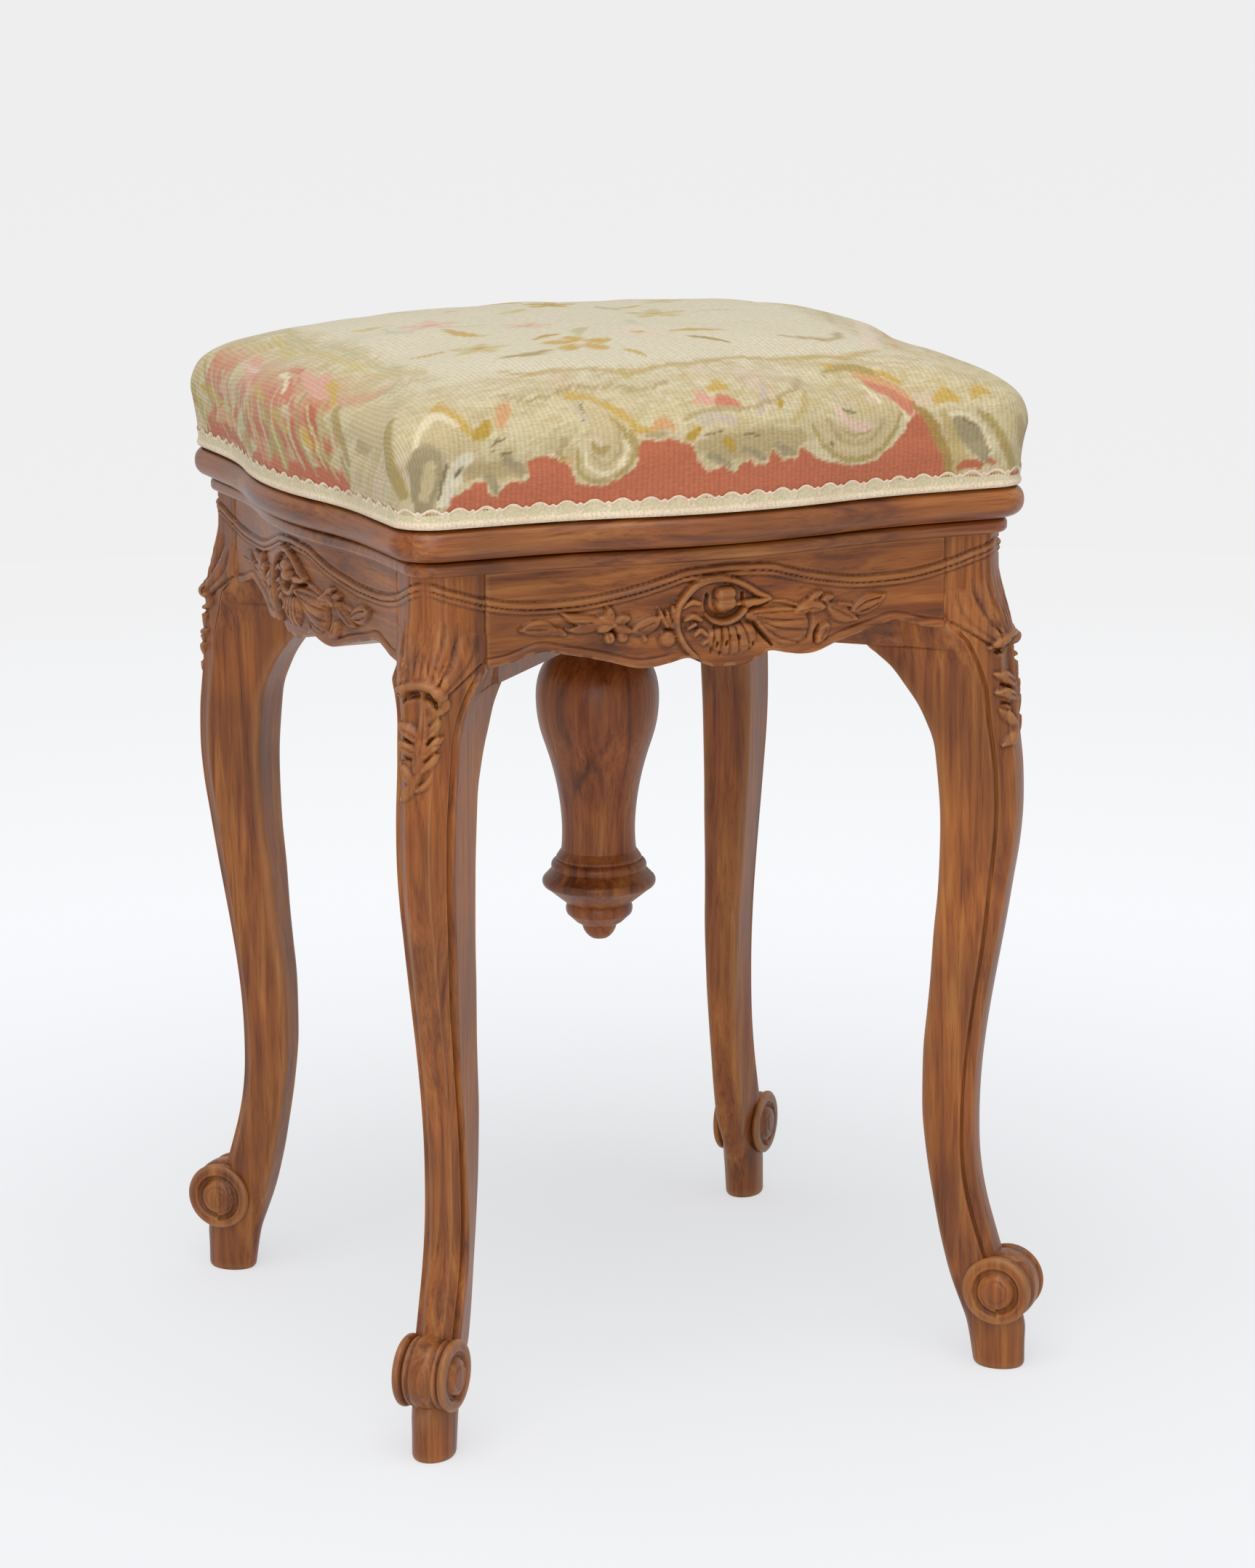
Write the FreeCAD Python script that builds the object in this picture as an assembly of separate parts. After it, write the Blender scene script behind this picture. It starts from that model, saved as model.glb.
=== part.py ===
"""Piano stool on four cabriole legs, with a seat that screws up and down.

Millimetres. +Z is up, the floor is Z = 0 and the origin is the centre of the four feet.
The front of the stool faces -Y. Each side of the frame bows outwards in the middle.
"""
import FreeCAD, Part
import math
import os

Vector = FreeCAD.Vector
UP = Vector(0, 0, 1)
ORIGIN = Vector(0, 0, 0)
QUARTER_TURNS = (0, 90, 180, 270)

# Driving heights above the floor
foot_height = 18.0
scroll_height = 46.5
apron_top = 442.0
ear_drop = 59.0
knee_drop = 15.0

# Frame of the base, seen from above
foot_spacing = 318.0
post_face = 157.0
post_width = 33.0
post_corner_radius = 10.0
apron_bow = 10.5
apron_thickness = 22.0

# Legs: sections of the foot, the scroll and the long taper
foot_length = 27.0
foot_width = 21.0
scroll_radius = 20.0
scroll_width = 29.6
scroll_reach = 1.6
eye_radius = 9.8
eye_reach = 1.7
eye_drop = 2.4
eye_stand_out = 2.0
nose_width = 12.0
nose_drop = 2.4
bead_radius = 2.2
back_rounding = 3.0

# Aprons
tenon_length = 17.0
tenon_thickness = 8.0
tenon_inset = 7.0
tenon_shoulder = 5.0
apron_drop_middle = 53.5
apron_drop_notch = 48.0
apron_drop_lobe = 51.5
apron_drop_cusp = 47.0
apron_drop_arch = 40.5
apron_drop_end = 46.5
apron_notch_at = 22.0
apron_lobe_at = 42.0
apron_cusp_at = 64.0
apron_arch_at = 96.0

# Board on top of the base
top_board_thickness = 7.0
top_board_overhang = 5.0
top_board_bow = 11.0
top_board_edge = 2.6
top_hole_clearance = 1.5
seat_gap = 1.2

# Crossed braces that hold the nut
brace_width = 36.0
brace_thickness = 20.0
brace_end_gap = 3.4
brace_side_gap = 0.65
brace_screw_inset = 7.0
brace_screw_length = 27.0
wood_screw_radius = 2.0
wood_screw_head = 4.0
wood_screw_head_depth = 2.4

# Screw, nut and stop
screw_radius = 11.0
thread_depth = 2.2
thread_pitch = 6.0
thread_root_half = 1.7
thread_crest_half = 0.9
thread_clearance = 0.35
thread_bite = 0.2
turns_of_travel = 14
nut_wall = 4.5
nut_flange_radius = 31.0
nut_flange_thickness = 3.0
nut_screw_inset = 7.0
nut_screw_length = 15.0
stop_slack = 0.5
stop_radius = 13.0
stop_thickness = 3.0
stud_radius = 6.0
stud_length = 14.0
socket_radius = 4.0
socket_depth = 12.0
running_clearance = 0.3
cotter_radius = 1.25
cotter_length = 20.0

# Turned pendant that houses the lower end of the screw
pendant_bore_clearance = 1.0
pendant_bore_spare = 7.0
pendant_wall = 5.4
pendant_floor = 9.5
pendant_belly_radius = 32.5
pendant_collar_radius = 27.0
pendant_collar_thickness = 8.0
pendant_lip = 3.2
pendant_lip_height = 1.5
pendant_screw_inset = 7.0
pendant_screw_length = 14.0
spigot_radius = 9.0
spigot_length = 14.0
finial_radius = 30.2
finial_length = 43.5

# Seat frame
seat_rail_thickness = 16.0
seat_rail_width = 58.0
seat_overhang = 13.0
seat_bow = 11.5
seat_corner = 22.0
seat_edge_radius = 7.4
nailing_step_height = 10.0
nailing_set_back = 5.0
spline_inset = 27.0
spline_length = 34.0
spline_thickness = 4.0
spline_height = 8.0
cross_rail_width = 100.0
cross_tenon_width = 70.0
cross_tenon_length = 20.0
cross_tenon_thickness = 9.0
cross_tenon_cover = 2.0
flange_radius = 40.0
flange_thickness = 4.0
flange_spigot_radius = 8.0
flange_screw_inset = 10.0
flange_screw_length = 13.0

# Upholstery
web_width = 50.0
web_pitch = 72.0
web_thickness = 1.2
web_set_back = 15.0
hessian_thickness = 0.8
hessian_set_back = 7.0
cloth_thickness = 1.5
soft_clearance = 0.3
cushion_shoulder = 48.0
cushion_crown = 77.0
cushion_fullness = 4.0
cushion_swell = 3.2
gimp_height = 10.5
gimp_thickness = 1.8
tack_head_radius = 2.4
tack_head_thickness = 0.5
tack_shank_radius = 0.8
tack_length = 9.0
tack_span = 228.0
tacks_per_side = 7

# How far the bow of a side reaches from its middle, the least straight run beside a corner,
# and how far a cutter passes a face
bow_reach = 110.0
straight_run = 4.0
past = 1.0

# Heights and distances that follow from these
ear_height = apron_top - ear_drop
knee_height = apron_top - knee_drop
foot_reach = foot_spacing / math.sqrt(2)
post_reach = post_face * math.sqrt(2)
post_inner = post_face - post_width
apron_inner = post_face - apron_thickness
top_board_half = post_face + top_board_overhang
top_board_corner = post_corner_radius + top_board_overhang
seat_half = post_face + seat_overhang
seat_opening_half = seat_half - seat_rail_width
nailing_half = seat_half - nailing_set_back
nailing_corner = seat_corner - nailing_set_back
seat_bottom = apron_top + top_board_thickness + seat_gap
seat_top = seat_bottom + seat_rail_thickness
nailing_top = seat_top + nailing_step_height
brace_top = ear_height + brace_thickness
brace_end = post_inner * math.sqrt(2) - brace_end_gap
brace_screw_at = brace_end - brace_screw_inset
thread_root = screw_radius - thread_depth
nut_radius = screw_radius + nut_wall
nut_screw_at = nut_flange_radius - nut_screw_inset
flange_screw_at = flange_radius - flange_screw_inset
seat_travel = thread_pitch * turns_of_travel
stop_top = ear_height - seat_travel - stop_slack
screw_shoulder = stop_top + stop_slack
pendant_bore = stop_radius + pendant_bore_clearance
pendant_bore_depth = ear_height - screw_shoulder + stud_length + pendant_bore_spare
pendant_waist_radius = pendant_bore + pendant_wall
pendant_screw_at = pendant_collar_radius - pendant_screw_inset
vase_length = pendant_bore_depth + spigot_length + pendant_floor
pendant_joint = ear_height - vase_length
web_top = nailing_top + 2 * web_thickness
web_reach = nailing_half - web_set_back
hessian_half = nailing_half - hessian_set_back
pad_bottom = web_top + hessian_thickness + soft_clearance
cover_half = nailing_half + soft_clearance + cloth_thickness
cover_corner = nailing_corner + soft_clearance + cloth_thickness
cover_bottom = seat_top + soft_clearance
cover_joint = nailing_step_height + past


def save(name, shape):
    """Write one piece, or one group of like pieces, to its own file."""
    shape.exportStep("parts/" + name + ".step")


def solid_of(shape):
    """The single solid inside a boolean result."""
    return shape.removeSplitter().Solids[0]


def turned(shape, degrees):
    """A copy turned about the vertical through the origin."""
    copy = shape.copy()
    copy.rotate(ORIGIN, UP, degrees)
    return copy


def box(x0, x1, y0, y1, z0, z1):
    """A block between two corners."""
    return Part.makeBox(x1 - x0, y1 - y0, z1 - z0, Vector(x0, y0, z0))


def cylinder(radius, z0, z1, x=0.0, y=0.0):
    """An upright round bar."""
    return Part.makeCylinder(radius, z1 - z0, Vector(x, y, z0), UP)


def arc(a, b, c):
    """An arc from a through b to c."""
    return Part.Arc(a, b, c).toShape()


def line(a, b):
    """A straight edge."""
    return Part.makeLine(a, b)


def polar(radius, degrees):
    """X and Y of a point on a circle round the origin."""
    angle = math.radians(degrees)
    return radius * math.cos(angle), radius * math.sin(angle)


def reach_of_bow(straight):
    """How far a bow reaches on a side with a given half length between its corners."""
    return min(bow_reach, straight - straight_run)


def bow_arcs(bow, reach):
    """Turn and radius of the arcs that make a bow: half of it full, half of it hollow."""
    turn = 2 * math.atan(bow / reach)
    return turn, reach / math.sin(turn) / 2


def bow_points(half, bow, reach, z):
    """Points along the front side of a bowed outline: two hollow arcs and one full arc between."""
    turn, radius = bow_arcs(bow, reach)
    side = radius * math.sin(turn / 2)
    rise = radius * (1 - math.cos(turn / 2))
    right = [(0.0, bow), (reach / 2, bow / 2), (reach - side, rise), (reach, 0.0)]
    full = (side, bow - rise)
    left = [(-x, d) for x, d in reversed(right)]
    points = left[:-1] + [(-full[0], full[1])]
    points = points + [(0.0, bow), full] + right[1:]
    return [Vector(x, -half - d, z) for x, d in points]


def bowed_side(half, bow, reach, z):
    """The three arcs of the front side of a bowed outline, from left to right."""
    p = bow_points(half, bow, reach, z)
    return [arc(p[0], p[1], p[2]), arc(p[2], p[4], p[6]), arc(p[6], p[7], p[8])]


def bowed_outline(half, bow, corner, z):
    """Closed outline of a square with four bowed sides and round corners."""
    straight = half - corner
    reach = reach_of_bow(straight)
    p = bow_points(half, bow, reach, z)
    diagonal = half - corner + corner / math.sqrt(2)
    edges = [line(Vector(-straight, -half, z), p[0])]
    edges += bowed_side(half, bow, reach, z)
    edges += [line(p[8], Vector(straight, -half, z))]
    edges += [arc(Vector(straight, -half, z), Vector(diagonal, -diagonal, z), Vector(half, -straight, z))]
    outline = []
    for degrees in QUARTER_TURNS:
        outline += [turned(edge, degrees) for edge in edges]
    return Part.Wire(outline)


def bowed_board(half, bow, corner, z0, z1):
    """A board with a bowed outline."""
    return Part.Face(bowed_outline(half, bow, corner, z0)).extrude(Vector(0, 0, z1 - z0))


def rim_edges(shape, z, inside):
    """Edges that lie flat at one height, outside a square of a given half width."""
    found = []
    for edge in shape.Edges:
        b = edge.BoundBox
        flat = abs(b.ZMin - z) < 0.01 and abs(b.ZMax - z) < 0.01
        far = max(abs(b.XMin), abs(b.XMax), abs(b.YMin), abs(b.YMax)) > inside
        if flat and far:
            found.append(edge)
    return found


# The leg stands in its own frame here: X runs outwards along the diagonal and Y across it

def leg_section(z, front, back, half_width, back_width):
    """Rounded nose, two front flats, a bead on each edge, two cheeks and a rounded back."""
    nose = nose_width / 2
    bead = front - (half_width - nose_drop)
    points = [
        (front - nose_drop, nose),
        (bead + bead_radius * 0.8, half_width - bead_radius),
        (bead - bead_radius * 0.3, half_width),
        (bead - bead_radius * 1.4, half_width - bead_radius * 0.2),
        (back + back_rounding, back_width),
    ]
    right = [Vector(x, y, z) for x, y in points]
    left = [Vector(x, -y, z) for x, y in points]
    edges = [
        arc(left[0], Vector(front, 0, z), right[0]),
        line(right[0], right[1]),
        arc(right[1], right[2], right[3]),
        line(right[3], right[4]),
        arc(right[4], Vector(back, 0, z), left[4]),
        line(left[4], left[3]),
        arc(left[3], left[2], left[1]),
        line(left[1], left[0]),
    ]
    return Part.Wire(edges)


def leg_stations():
    """Height as a share of the ear height, then reach past the line from foot to post, and widths."""
    half_length = foot_length / 2
    half_width = foot_width / 2
    foot_share = foot_height / ear_height
    return [
        (0.0, half_length, -half_length, half_width, half_width * 0.86),
        (foot_share, half_length + 0.4, -half_length - 2.6, half_width, half_width * 0.86),
        (0.090, 8.6, -22.5, 11.2, 9.2),
        (0.157, 1.8, -28.6, 12.0, 9.0),
        (0.196, -3.8, -31.8, 12.2, 8.8),
        (0.235, -7.9, -34.6, 12.2, 8.6),
        (0.313, -12.4, -39.2, 11.6, 8.8),
        (0.392, -12.2, -40.4, 11.2, 9.6),
        (0.496, -7.4, -37.4, 11.4, 11.0),
        (0.627, 1.5, -32.6, 13.2, 12.8),
        (0.744, 8.5, -29.5, 15.0, 14.4),
        (0.862, 9.6, -32.6, 15.8, 14.8),
        (0.927, 7.9, -42.2, 16.4, 14.6),
        (0.966, 6.2, -54.0, 18.2, 13.6),
        (1.0, 5.3, -70.0, 20.2, 12.4),
    ]


def leg_axis(share):
    """Distance from the stool's centre to the line from foot to post, at a share of the ear height."""
    return foot_reach + (post_reach - foot_reach) * share


def leg_shaft():
    """The cabriole shaft from the floor to the flat top of the ear."""
    wires = []
    for share, front, back, half_width, back_width in leg_stations():
        axis = leg_axis(share)
        wires.append(leg_section(share * ear_height, axis + front, axis + back, half_width, back_width))
    return Part.makeLoft(wires, True, False)


def leg_knee():
    """The knee that swells round the corner post above the ear."""
    axis = leg_axis(1.0)
    back = post_inner * math.sqrt(2) - axis + 2.0
    rise = knee_height - ear_height
    stations = [
        (0.0, 5.3, 20.2),
        (0.16, 5.0, 22.6),
        (0.40, 3.0, 23.4),
        (0.70, -1.0, 21.6),
        (1.0, -4.4, 19.0),
    ]
    wires = []
    for share, front, half_width in stations:
        z = ear_height + share * rise
        wires.append(leg_section(z, axis + front, axis + back, half_width, half_width * 0.5))
    return Part.makeLoft(wires, True, False)


def leg_scroll():
    """The scroll that the foot of the leg rolls into, with an eye on each cheek."""
    centre = foot_reach + scroll_reach
    half = scroll_width / 2
    roll_at = Vector(centre, -half, scroll_height)
    roll = Part.makeCylinder(scroll_radius, scroll_width, roll_at, Vector(0, 1, 0))
    eye_half = half + eye_stand_out
    eye_at = Vector(foot_reach + eye_reach, -eye_half, scroll_height - eye_drop)
    eye = Part.makeCylinder(eye_radius, 2 * eye_half, eye_at, Vector(0, 1, 0))
    return roll.fuse(eye)


def corner_post():
    """The square post above the ear, in its place at the front left corner."""
    post = box(-post_face, -post_inner, -post_face, -post_inner, ear_height, apron_top)
    corner = []
    for edge in post.Edges:
        b = edge.BoundBox
        upright = b.ZLength > 1.0
        outer = b.XMax < -post_face + 0.01 and b.YMax < -post_face + 0.01
        if upright and outer:
            corner.append(edge)
    return post.makeFillet(post_corner_radius, corner)


def tenon(length):
    """Tenon at the left end of the front apron, or the block that cuts its mortise."""
    outer = -post_face + tenon_inset
    bottom = apron_top - apron_drop_arch + tenon_shoulder
    top = apron_top - tenon_shoulder
    return box(-post_inner - length, -post_inner, outer, outer + tenon_thickness, bottom, top)


def ear_screw_hole():
    """Pilot hole in the ear for the screw that holds the brace down."""
    x, y = polar(brace_screw_at, 225)
    return cylinder(wood_screw_radius, brace_top - brace_screw_length, ear_height, x, y)


def make_leg(apron):
    """The front left leg: shaft, scroll, knee and corner post, cut for two aprons and a screw."""
    shaft = turned(leg_shaft().fuse(leg_scroll()), 225)
    beside_post = box(-post_reach, -post_inner, -post_reach, -post_inner, ear_height, apron_top)
    knee = turned(leg_knee(), 225).common(beside_post)
    leg = shaft.fuse([knee, corner_post()])
    return solid_of(leg.cut([apron, turned(apron, 270), ear_screw_hole()]))


def apron_edge():
    """Lower edge of an apron: a drop in the middle, a lobe each side and an arch at each end."""
    def at(x, drop):
        return Vector(x, 0, apron_top - drop)

    deep_lobe = at(apron_lobe_at, apron_drop_lobe)
    arch = at(apron_arch_at, apron_drop_arch)
    notch = at(apron_notch_at, apron_drop_notch)
    cusp = at(apron_cusp_at, apron_drop_cusp)
    end = at(post_inner, apron_drop_end)

    def flipped(p):
        return Vector(-p.x, p.y, p.z)

    return [
        arc(flipped(end), flipped(arch), flipped(cusp)),
        arc(flipped(cusp), flipped(deep_lobe), flipped(notch)),
        arc(flipped(notch), at(0, apron_drop_middle), notch),
        arc(notch, deep_lobe, cusp),
        arc(cusp, arch, end),
    ]


def make_apron():
    """The front apron, bowed in plan, with its shaped lower edge and a tenon at each end."""
    inner = -apron_inner
    half = post_inner
    reach = reach_of_bow(half)
    edges = bowed_side(post_face, apron_bow, reach, 0)
    corners = [
        Vector(reach, -post_face, 0),
        Vector(half, -post_face, 0),
        Vector(half, inner, 0),
        Vector(-half, inner, 0),
        Vector(-half, -post_face, 0),
        Vector(-reach, -post_face, 0),
    ]
    edges += [line(a, b) for a, b in zip(corners, corners[1:])]
    board = Part.Face(Part.Wire(edges)).extrude(Vector(0, 0, apron_top))

    shape = apron_edge()
    low_left = shape[0].Vertexes[0].Point
    low_right = shape[-1].Vertexes[-1].Point
    top_left = Vector(-half, 0, apron_top)
    top_right = Vector(half, 0, apron_top)
    shape += [line(low_right, top_right), line(top_right, top_left), line(top_left, low_left)]
    pattern = Part.Face(Part.Wire(shape))
    pattern.translate(Vector(0, -2 * post_face, 0))
    pattern = pattern.extrude(Vector(0, 2 * post_face, 0))

    left = tenon(tenon_length)
    right = left.mirror(ORIGIN, Vector(1, 0, 0))
    return solid_of(board.common(pattern).fuse([left, right]))


def make_base_top():
    """Board with a moulded edge and a hole for the screw."""
    z0 = apron_top
    z1 = apron_top + top_board_thickness
    board = bowed_board(top_board_half, top_board_bow, top_board_corner, z0, z1)
    rims = rim_edges(board, z0, post_inner) + rim_edges(board, z1, post_inner)
    board = board.makeFillet(top_board_edge, rims)
    return solid_of(board.cut(cylinder(screw_radius + top_hole_clearance, z0 - past, z1 + past)))


def countersunk(x, y, top, length):
    """A wood screw that points down, with its head flush at the top."""
    shank = cylinder(wood_screw_radius, top - length, top, x, y)
    head_base = Vector(x, y, top - wood_screw_head_depth)
    head = Part.makeCone(wood_screw_radius, wood_screw_head, wood_screw_head_depth, head_base, UP)
    return solid_of(shank.fuse(head))


def upside_down(x, y, bottom, length):
    """A wood screw that points up, with its head flush at the bottom."""
    shank = cylinder(wood_screw_radius, bottom, bottom + length, x, y)
    base = Vector(x, y, bottom)
    head = Part.makeCone(wood_screw_head, wood_screw_radius, wood_screw_head_depth, base, UP)
    return solid_of(shank.fuse(head))


def ring_of(make, radius, first, *rest):
    """Four like pieces spaced a quarter turn apart."""
    pieces = []
    for quarter in QUARTER_TURNS:
        x, y = polar(radius, first + quarter)
        pieces.append(make(x, y, *rest))
    return pieces


def make_braces(fixings):
    """Two bars from ear to ear, halved where they cross and notched round the posts."""
    half = brace_width / 2
    middle = (ear_height + brace_top) / 2
    bar = box(-post_reach, post_reach, -half, half, ear_height, brace_top)
    lower = bar.cut(box(-half, half, -half, half, middle, brace_top))
    upper = turned(bar.cut(box(-half, half, -half, half, ear_height, middle)), 90)
    hole = cylinder(nut_radius, ear_height - past, brace_top + past)
    inside = apron_inner - brace_side_gap
    room = box(-inside, inside, -inside, inside, ear_height, brace_top)
    post_side = post_inner - brace_side_gap
    post = box(post_side, inside + past, post_side, inside + past, ear_height - past, brace_top + past)
    room = room.cut([turned(post, degrees) for degrees in QUARTER_TURNS])
    made = []
    for piece in (lower, upper):
        made.append(solid_of(turned(piece, 45).common(room).cut([hole] + fixings)))
    return made


def helix_ridge(root, crest, bottom, turns, root_half, crest_half):
    """A right-hand ridge of trapezoid section wound round the vertical."""
    path = Part.makeHelix(thread_pitch, thread_pitch * turns, root)
    path.translate(Vector(0, 0, bottom))
    corners = [
        Vector(root - thread_bite, 0, bottom - root_half),
        Vector(crest, 0, bottom - crest_half),
        Vector(crest, 0, bottom + crest_half),
        Vector(root - thread_bite, 0, bottom + root_half),
    ]
    profile = Part.makePolygon(corners + [corners[0]])
    sweep = Part.BRepOffsetAPI.MakePipeShell(Part.Wire(path.Edges))
    sweep.setFrenetMode(True)
    sweep.add(profile)
    sweep.build()
    sweep.makeSolid()
    return sweep.shape()


def make_screw():
    """The long screw, with a riveted spigot at the top and a socket for the end stud."""
    low = screw_shoulder
    core = cylinder(thread_root, low, seat_bottom)
    turns = math.floor((seat_bottom - low) / thread_pitch) - 1
    start = low + thread_pitch / 2
    ridge = helix_ridge(thread_root, screw_radius, start, turns, thread_root_half, thread_crest_half)
    spigot = cylinder(flange_spigot_radius, seat_bottom, seat_bottom + flange_thickness)
    socket = cylinder(socket_radius, low - past, low + socket_depth)
    return solid_of(core.fuse([ridge, spigot]).cut(socket))


def make_nut():
    """Threaded bush with a flange that rests on the braces."""
    bush = cylinder(nut_radius, ear_height, brace_top)
    flange = cylinder(nut_flange_radius, brace_top, brace_top + nut_flange_thickness)
    nut = bush.fuse(flange)
    thread_start = screw_shoulder + thread_pitch / 2
    turns_below = math.floor((ear_height - thread_start) / thread_pitch) - 1
    low = thread_start + turns_below * thread_pitch
    turns = math.ceil((brace_thickness + nut_flange_thickness) / thread_pitch) + 3
    root = thread_root + thread_clearance
    groove = helix_ridge(
        root, screw_radius + thread_clearance, low, turns,
        thread_root_half + thread_clearance, thread_crest_half + thread_clearance)
    bore = cylinder(root, low - thread_pitch, low + (turns + 1) * thread_pitch)
    return solid_of(nut.cut(bore.fuse(groove)))


def cotter_pin():
    """Pin through the stud that the stop washer rests on."""
    z = stop_top - stop_thickness - running_clearance - cotter_radius
    start = Vector(-cotter_length / 2, 0, z)
    return Part.makeCylinder(cotter_radius, cotter_length, start, Vector(1, 0, 0))


def make_end_stud():
    """Plain stud let into the lower end of the screw, with a hole for the cotter pin."""
    low = screw_shoulder
    stud = cylinder(stud_radius, low - stud_length, low)
    shank = cylinder(socket_radius, low, low + socket_depth)
    return solid_of(stud.fuse(shank).cut(cotter_pin()))


def make_stop():
    """Loose washer that meets the nut when the seat is right up."""
    low = stop_top - stop_thickness
    washer = cylinder(stop_radius, low, stop_top)
    return washer.cut(cylinder(stud_radius + running_clearance, low - past, stop_top + past))


def vase_curve():
    """Points down the swelling of the vase: share of the belly, and share of the vase's length."""
    spread = pendant_belly_radius - pendant_waist_radius
    shape = [
        (0.0, 0.094),
        (0.26, 0.130),
        (0.70, 0.184),
        (0.96, 0.257),
        (1.0, 0.342),
        (0.86, 0.444),
        (0.55, 0.545),
        (0.26, 0.654),
        (0.05, 0.786),
        (0.0, 0.895),
        (0.04, 0.957),
    ]
    points = []
    for belly, down in shape:
        points.append(Vector(pendant_waist_radius + belly * spread, 0, ear_height - down * vase_length))
    return points


def make_vase():
    """The turned vase under the nut, bored for the screw."""
    points = vase_curve()
    curve = Part.BSplineCurve()
    curve.interpolate(points)
    collar_low = ear_height - pendant_collar_thickness
    foot = pendant_waist_radius + pendant_lip
    outline = [
        Vector(0, 0, ear_height),
        Vector(pendant_collar_radius, 0, ear_height),
        Vector(pendant_collar_radius, 0, collar_low),
        Vector(pendant_waist_radius, 0, collar_low),
        points[0],
    ]
    ending = [
        points[-1],
        Vector(foot, 0, pendant_joint + pendant_lip_height),
        Vector(foot, 0, pendant_joint),
        Vector(0, 0, pendant_joint),
        outline[0],
    ]
    edges = [line(a, b) for a, b in zip(outline, outline[1:])]
    edges.append(curve.toShape())
    edges += [line(a, b) for a, b in zip(ending, ending[1:])]
    vase = Part.Face(Part.Wire(edges)).revolve(ORIGIN, UP, 360)
    bore = cylinder(pendant_bore, ear_height - pendant_bore_depth, ear_height + past)
    socket = cylinder(spigot_radius, pendant_joint - past, pendant_joint + spigot_length)
    return vase.cut([bore, socket])


def make_finial():
    """The moulded drop under the vase, glued in by a spigot."""
    def at(out, down):
        return Vector(out * finial_radius, 0, pendant_joint - down * finial_length)

    spigot_top = pendant_joint + spigot_length
    axis_top = Vector(0, 0, spigot_top)
    spigot = [
        axis_top,
        Vector(spigot_radius, 0, spigot_top),
        Vector(spigot_radius, 0, pendant_joint),
        at(0.76, 0),
    ]
    edges = [line(a, b) for a, b in zip(spigot, spigot[1:])]
    edges += [
        arc(at(0.76, 0), at(0.835, 0.055), at(0.828, 0.12)),
        line(at(0.828, 0.12), at(0.96, 0.216)),
        arc(at(0.96, 0.216), at(1.0, 0.28), at(0.927, 0.35)),
        line(at(0.927, 0.35), at(0.563, 0.556)),
        arc(at(0.563, 0.556), at(0.59, 0.625), at(0.563, 0.69)),
        line(at(0.563, 0.69), at(0.41, 0.79)),
        line(at(0.41, 0.79), at(0.305, 0.832)),
        arc(at(0.305, 0.832), at(0.245, 0.933), at(0.14, 1.0)),
        line(at(0.14, 1.0), at(0, 1.0)),
        line(at(0, 1.0), axis_top),
    ]
    return Part.Face(Part.Wire(edges)).revolve(ORIGIN, UP, 360)


def mitre_wedge():
    """Quarter of the plan that the front rail keeps."""
    far = 2 * seat_half
    z = seat_bottom - past
    corners = [Vector(0, 0, z), Vector(-far, -far, z), Vector(far, -far, z), Vector(0, 0, z)]
    return Part.Face(Part.makePolygon(corners)).extrude(Vector(0, 0, nailing_top - z + past))


def seat_spline():
    """Loose tongue let into the mitre at the front left corner."""
    inner = seat_half - spline_inset
    middle = seat_bottom + seat_rail_thickness / 2
    tongue = box(
        -spline_length / 2, spline_length / 2, -spline_thickness / 2, spline_thickness / 2,
        middle - spline_height / 2, middle + spline_height / 2)
    tongue.rotate(ORIGIN, UP, 135)
    tongue.translate(Vector(-inner, -inner, 0))
    return tongue


def cross_tenon(length):
    """Tenon at the front end of the cross rail, or the block that cuts its mortise."""
    half = cross_tenon_width / 2
    low = seat_top - cross_tenon_thickness - cross_tenon_cover
    return box(-half, half, -seat_opening_half - length, -seat_opening_half, low, low + cross_tenon_thickness)


def make_seat_rails(cuts):
    """Four mitred rails with a bullnose edge and a raised step for nailing."""
    frame = bowed_board(seat_half, seat_bow, seat_corner, seat_bottom, seat_top)
    rims = rim_edges(frame, seat_bottom, post_inner) + rim_edges(frame, seat_top, post_inner)
    frame = frame.makeFillet(seat_edge_radius, rims)
    step = bowed_board(nailing_half, seat_bow, nailing_corner, seat_top, nailing_top)
    half = seat_opening_half
    opening = box(-half, half, -half, half, seat_bottom - past, nailing_top + past)
    frame = frame.fuse(step).cut(opening)
    wedge = mitre_wedge()
    rails = []
    for degrees in QUARTER_TURNS:
        rails.append(solid_of(frame.common(turned(wedge, degrees)).cut(cuts)))
    return rails


def make_cross_rail(cuts):
    """Rail across the seat frame that the screw's flange is fixed to."""
    half = cross_rail_width / 2
    rail = box(-half, half, -seat_opening_half, seat_opening_half, seat_bottom, seat_top)
    front = cross_tenon(cross_tenon_length)
    rail = rail.fuse([front, turned(front, 180)])
    recess = cylinder(flange_radius, seat_bottom - past, seat_bottom + flange_thickness)
    return solid_of(rail.cut([recess] + cuts))


def make_flange(cuts):
    """Round iron plate let into the cross rail, riveted to the screw."""
    plate = cylinder(flange_radius, seat_bottom, seat_bottom + flange_thickness)
    hole = cylinder(flange_spigot_radius, seat_bottom - past, seat_bottom + flange_thickness + past)
    return plate.cut([hole] + cuts)


def make_webbing():
    """Three webs each way, stretched over the seat frame and nailed to its top."""
    layers = []
    for level in (0, 1):
        z = nailing_top + level * web_thickness
        webs = []
        for place in (-1, 0, 1):
            x = place * web_pitch
            web = box(x - web_width / 2, x + web_width / 2, -web_reach, web_reach, z, z + web_thickness)
            webs.append(turned(web, 90 * level))
        layers.append(Part.makeCompound(webs))
    return layers


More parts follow.
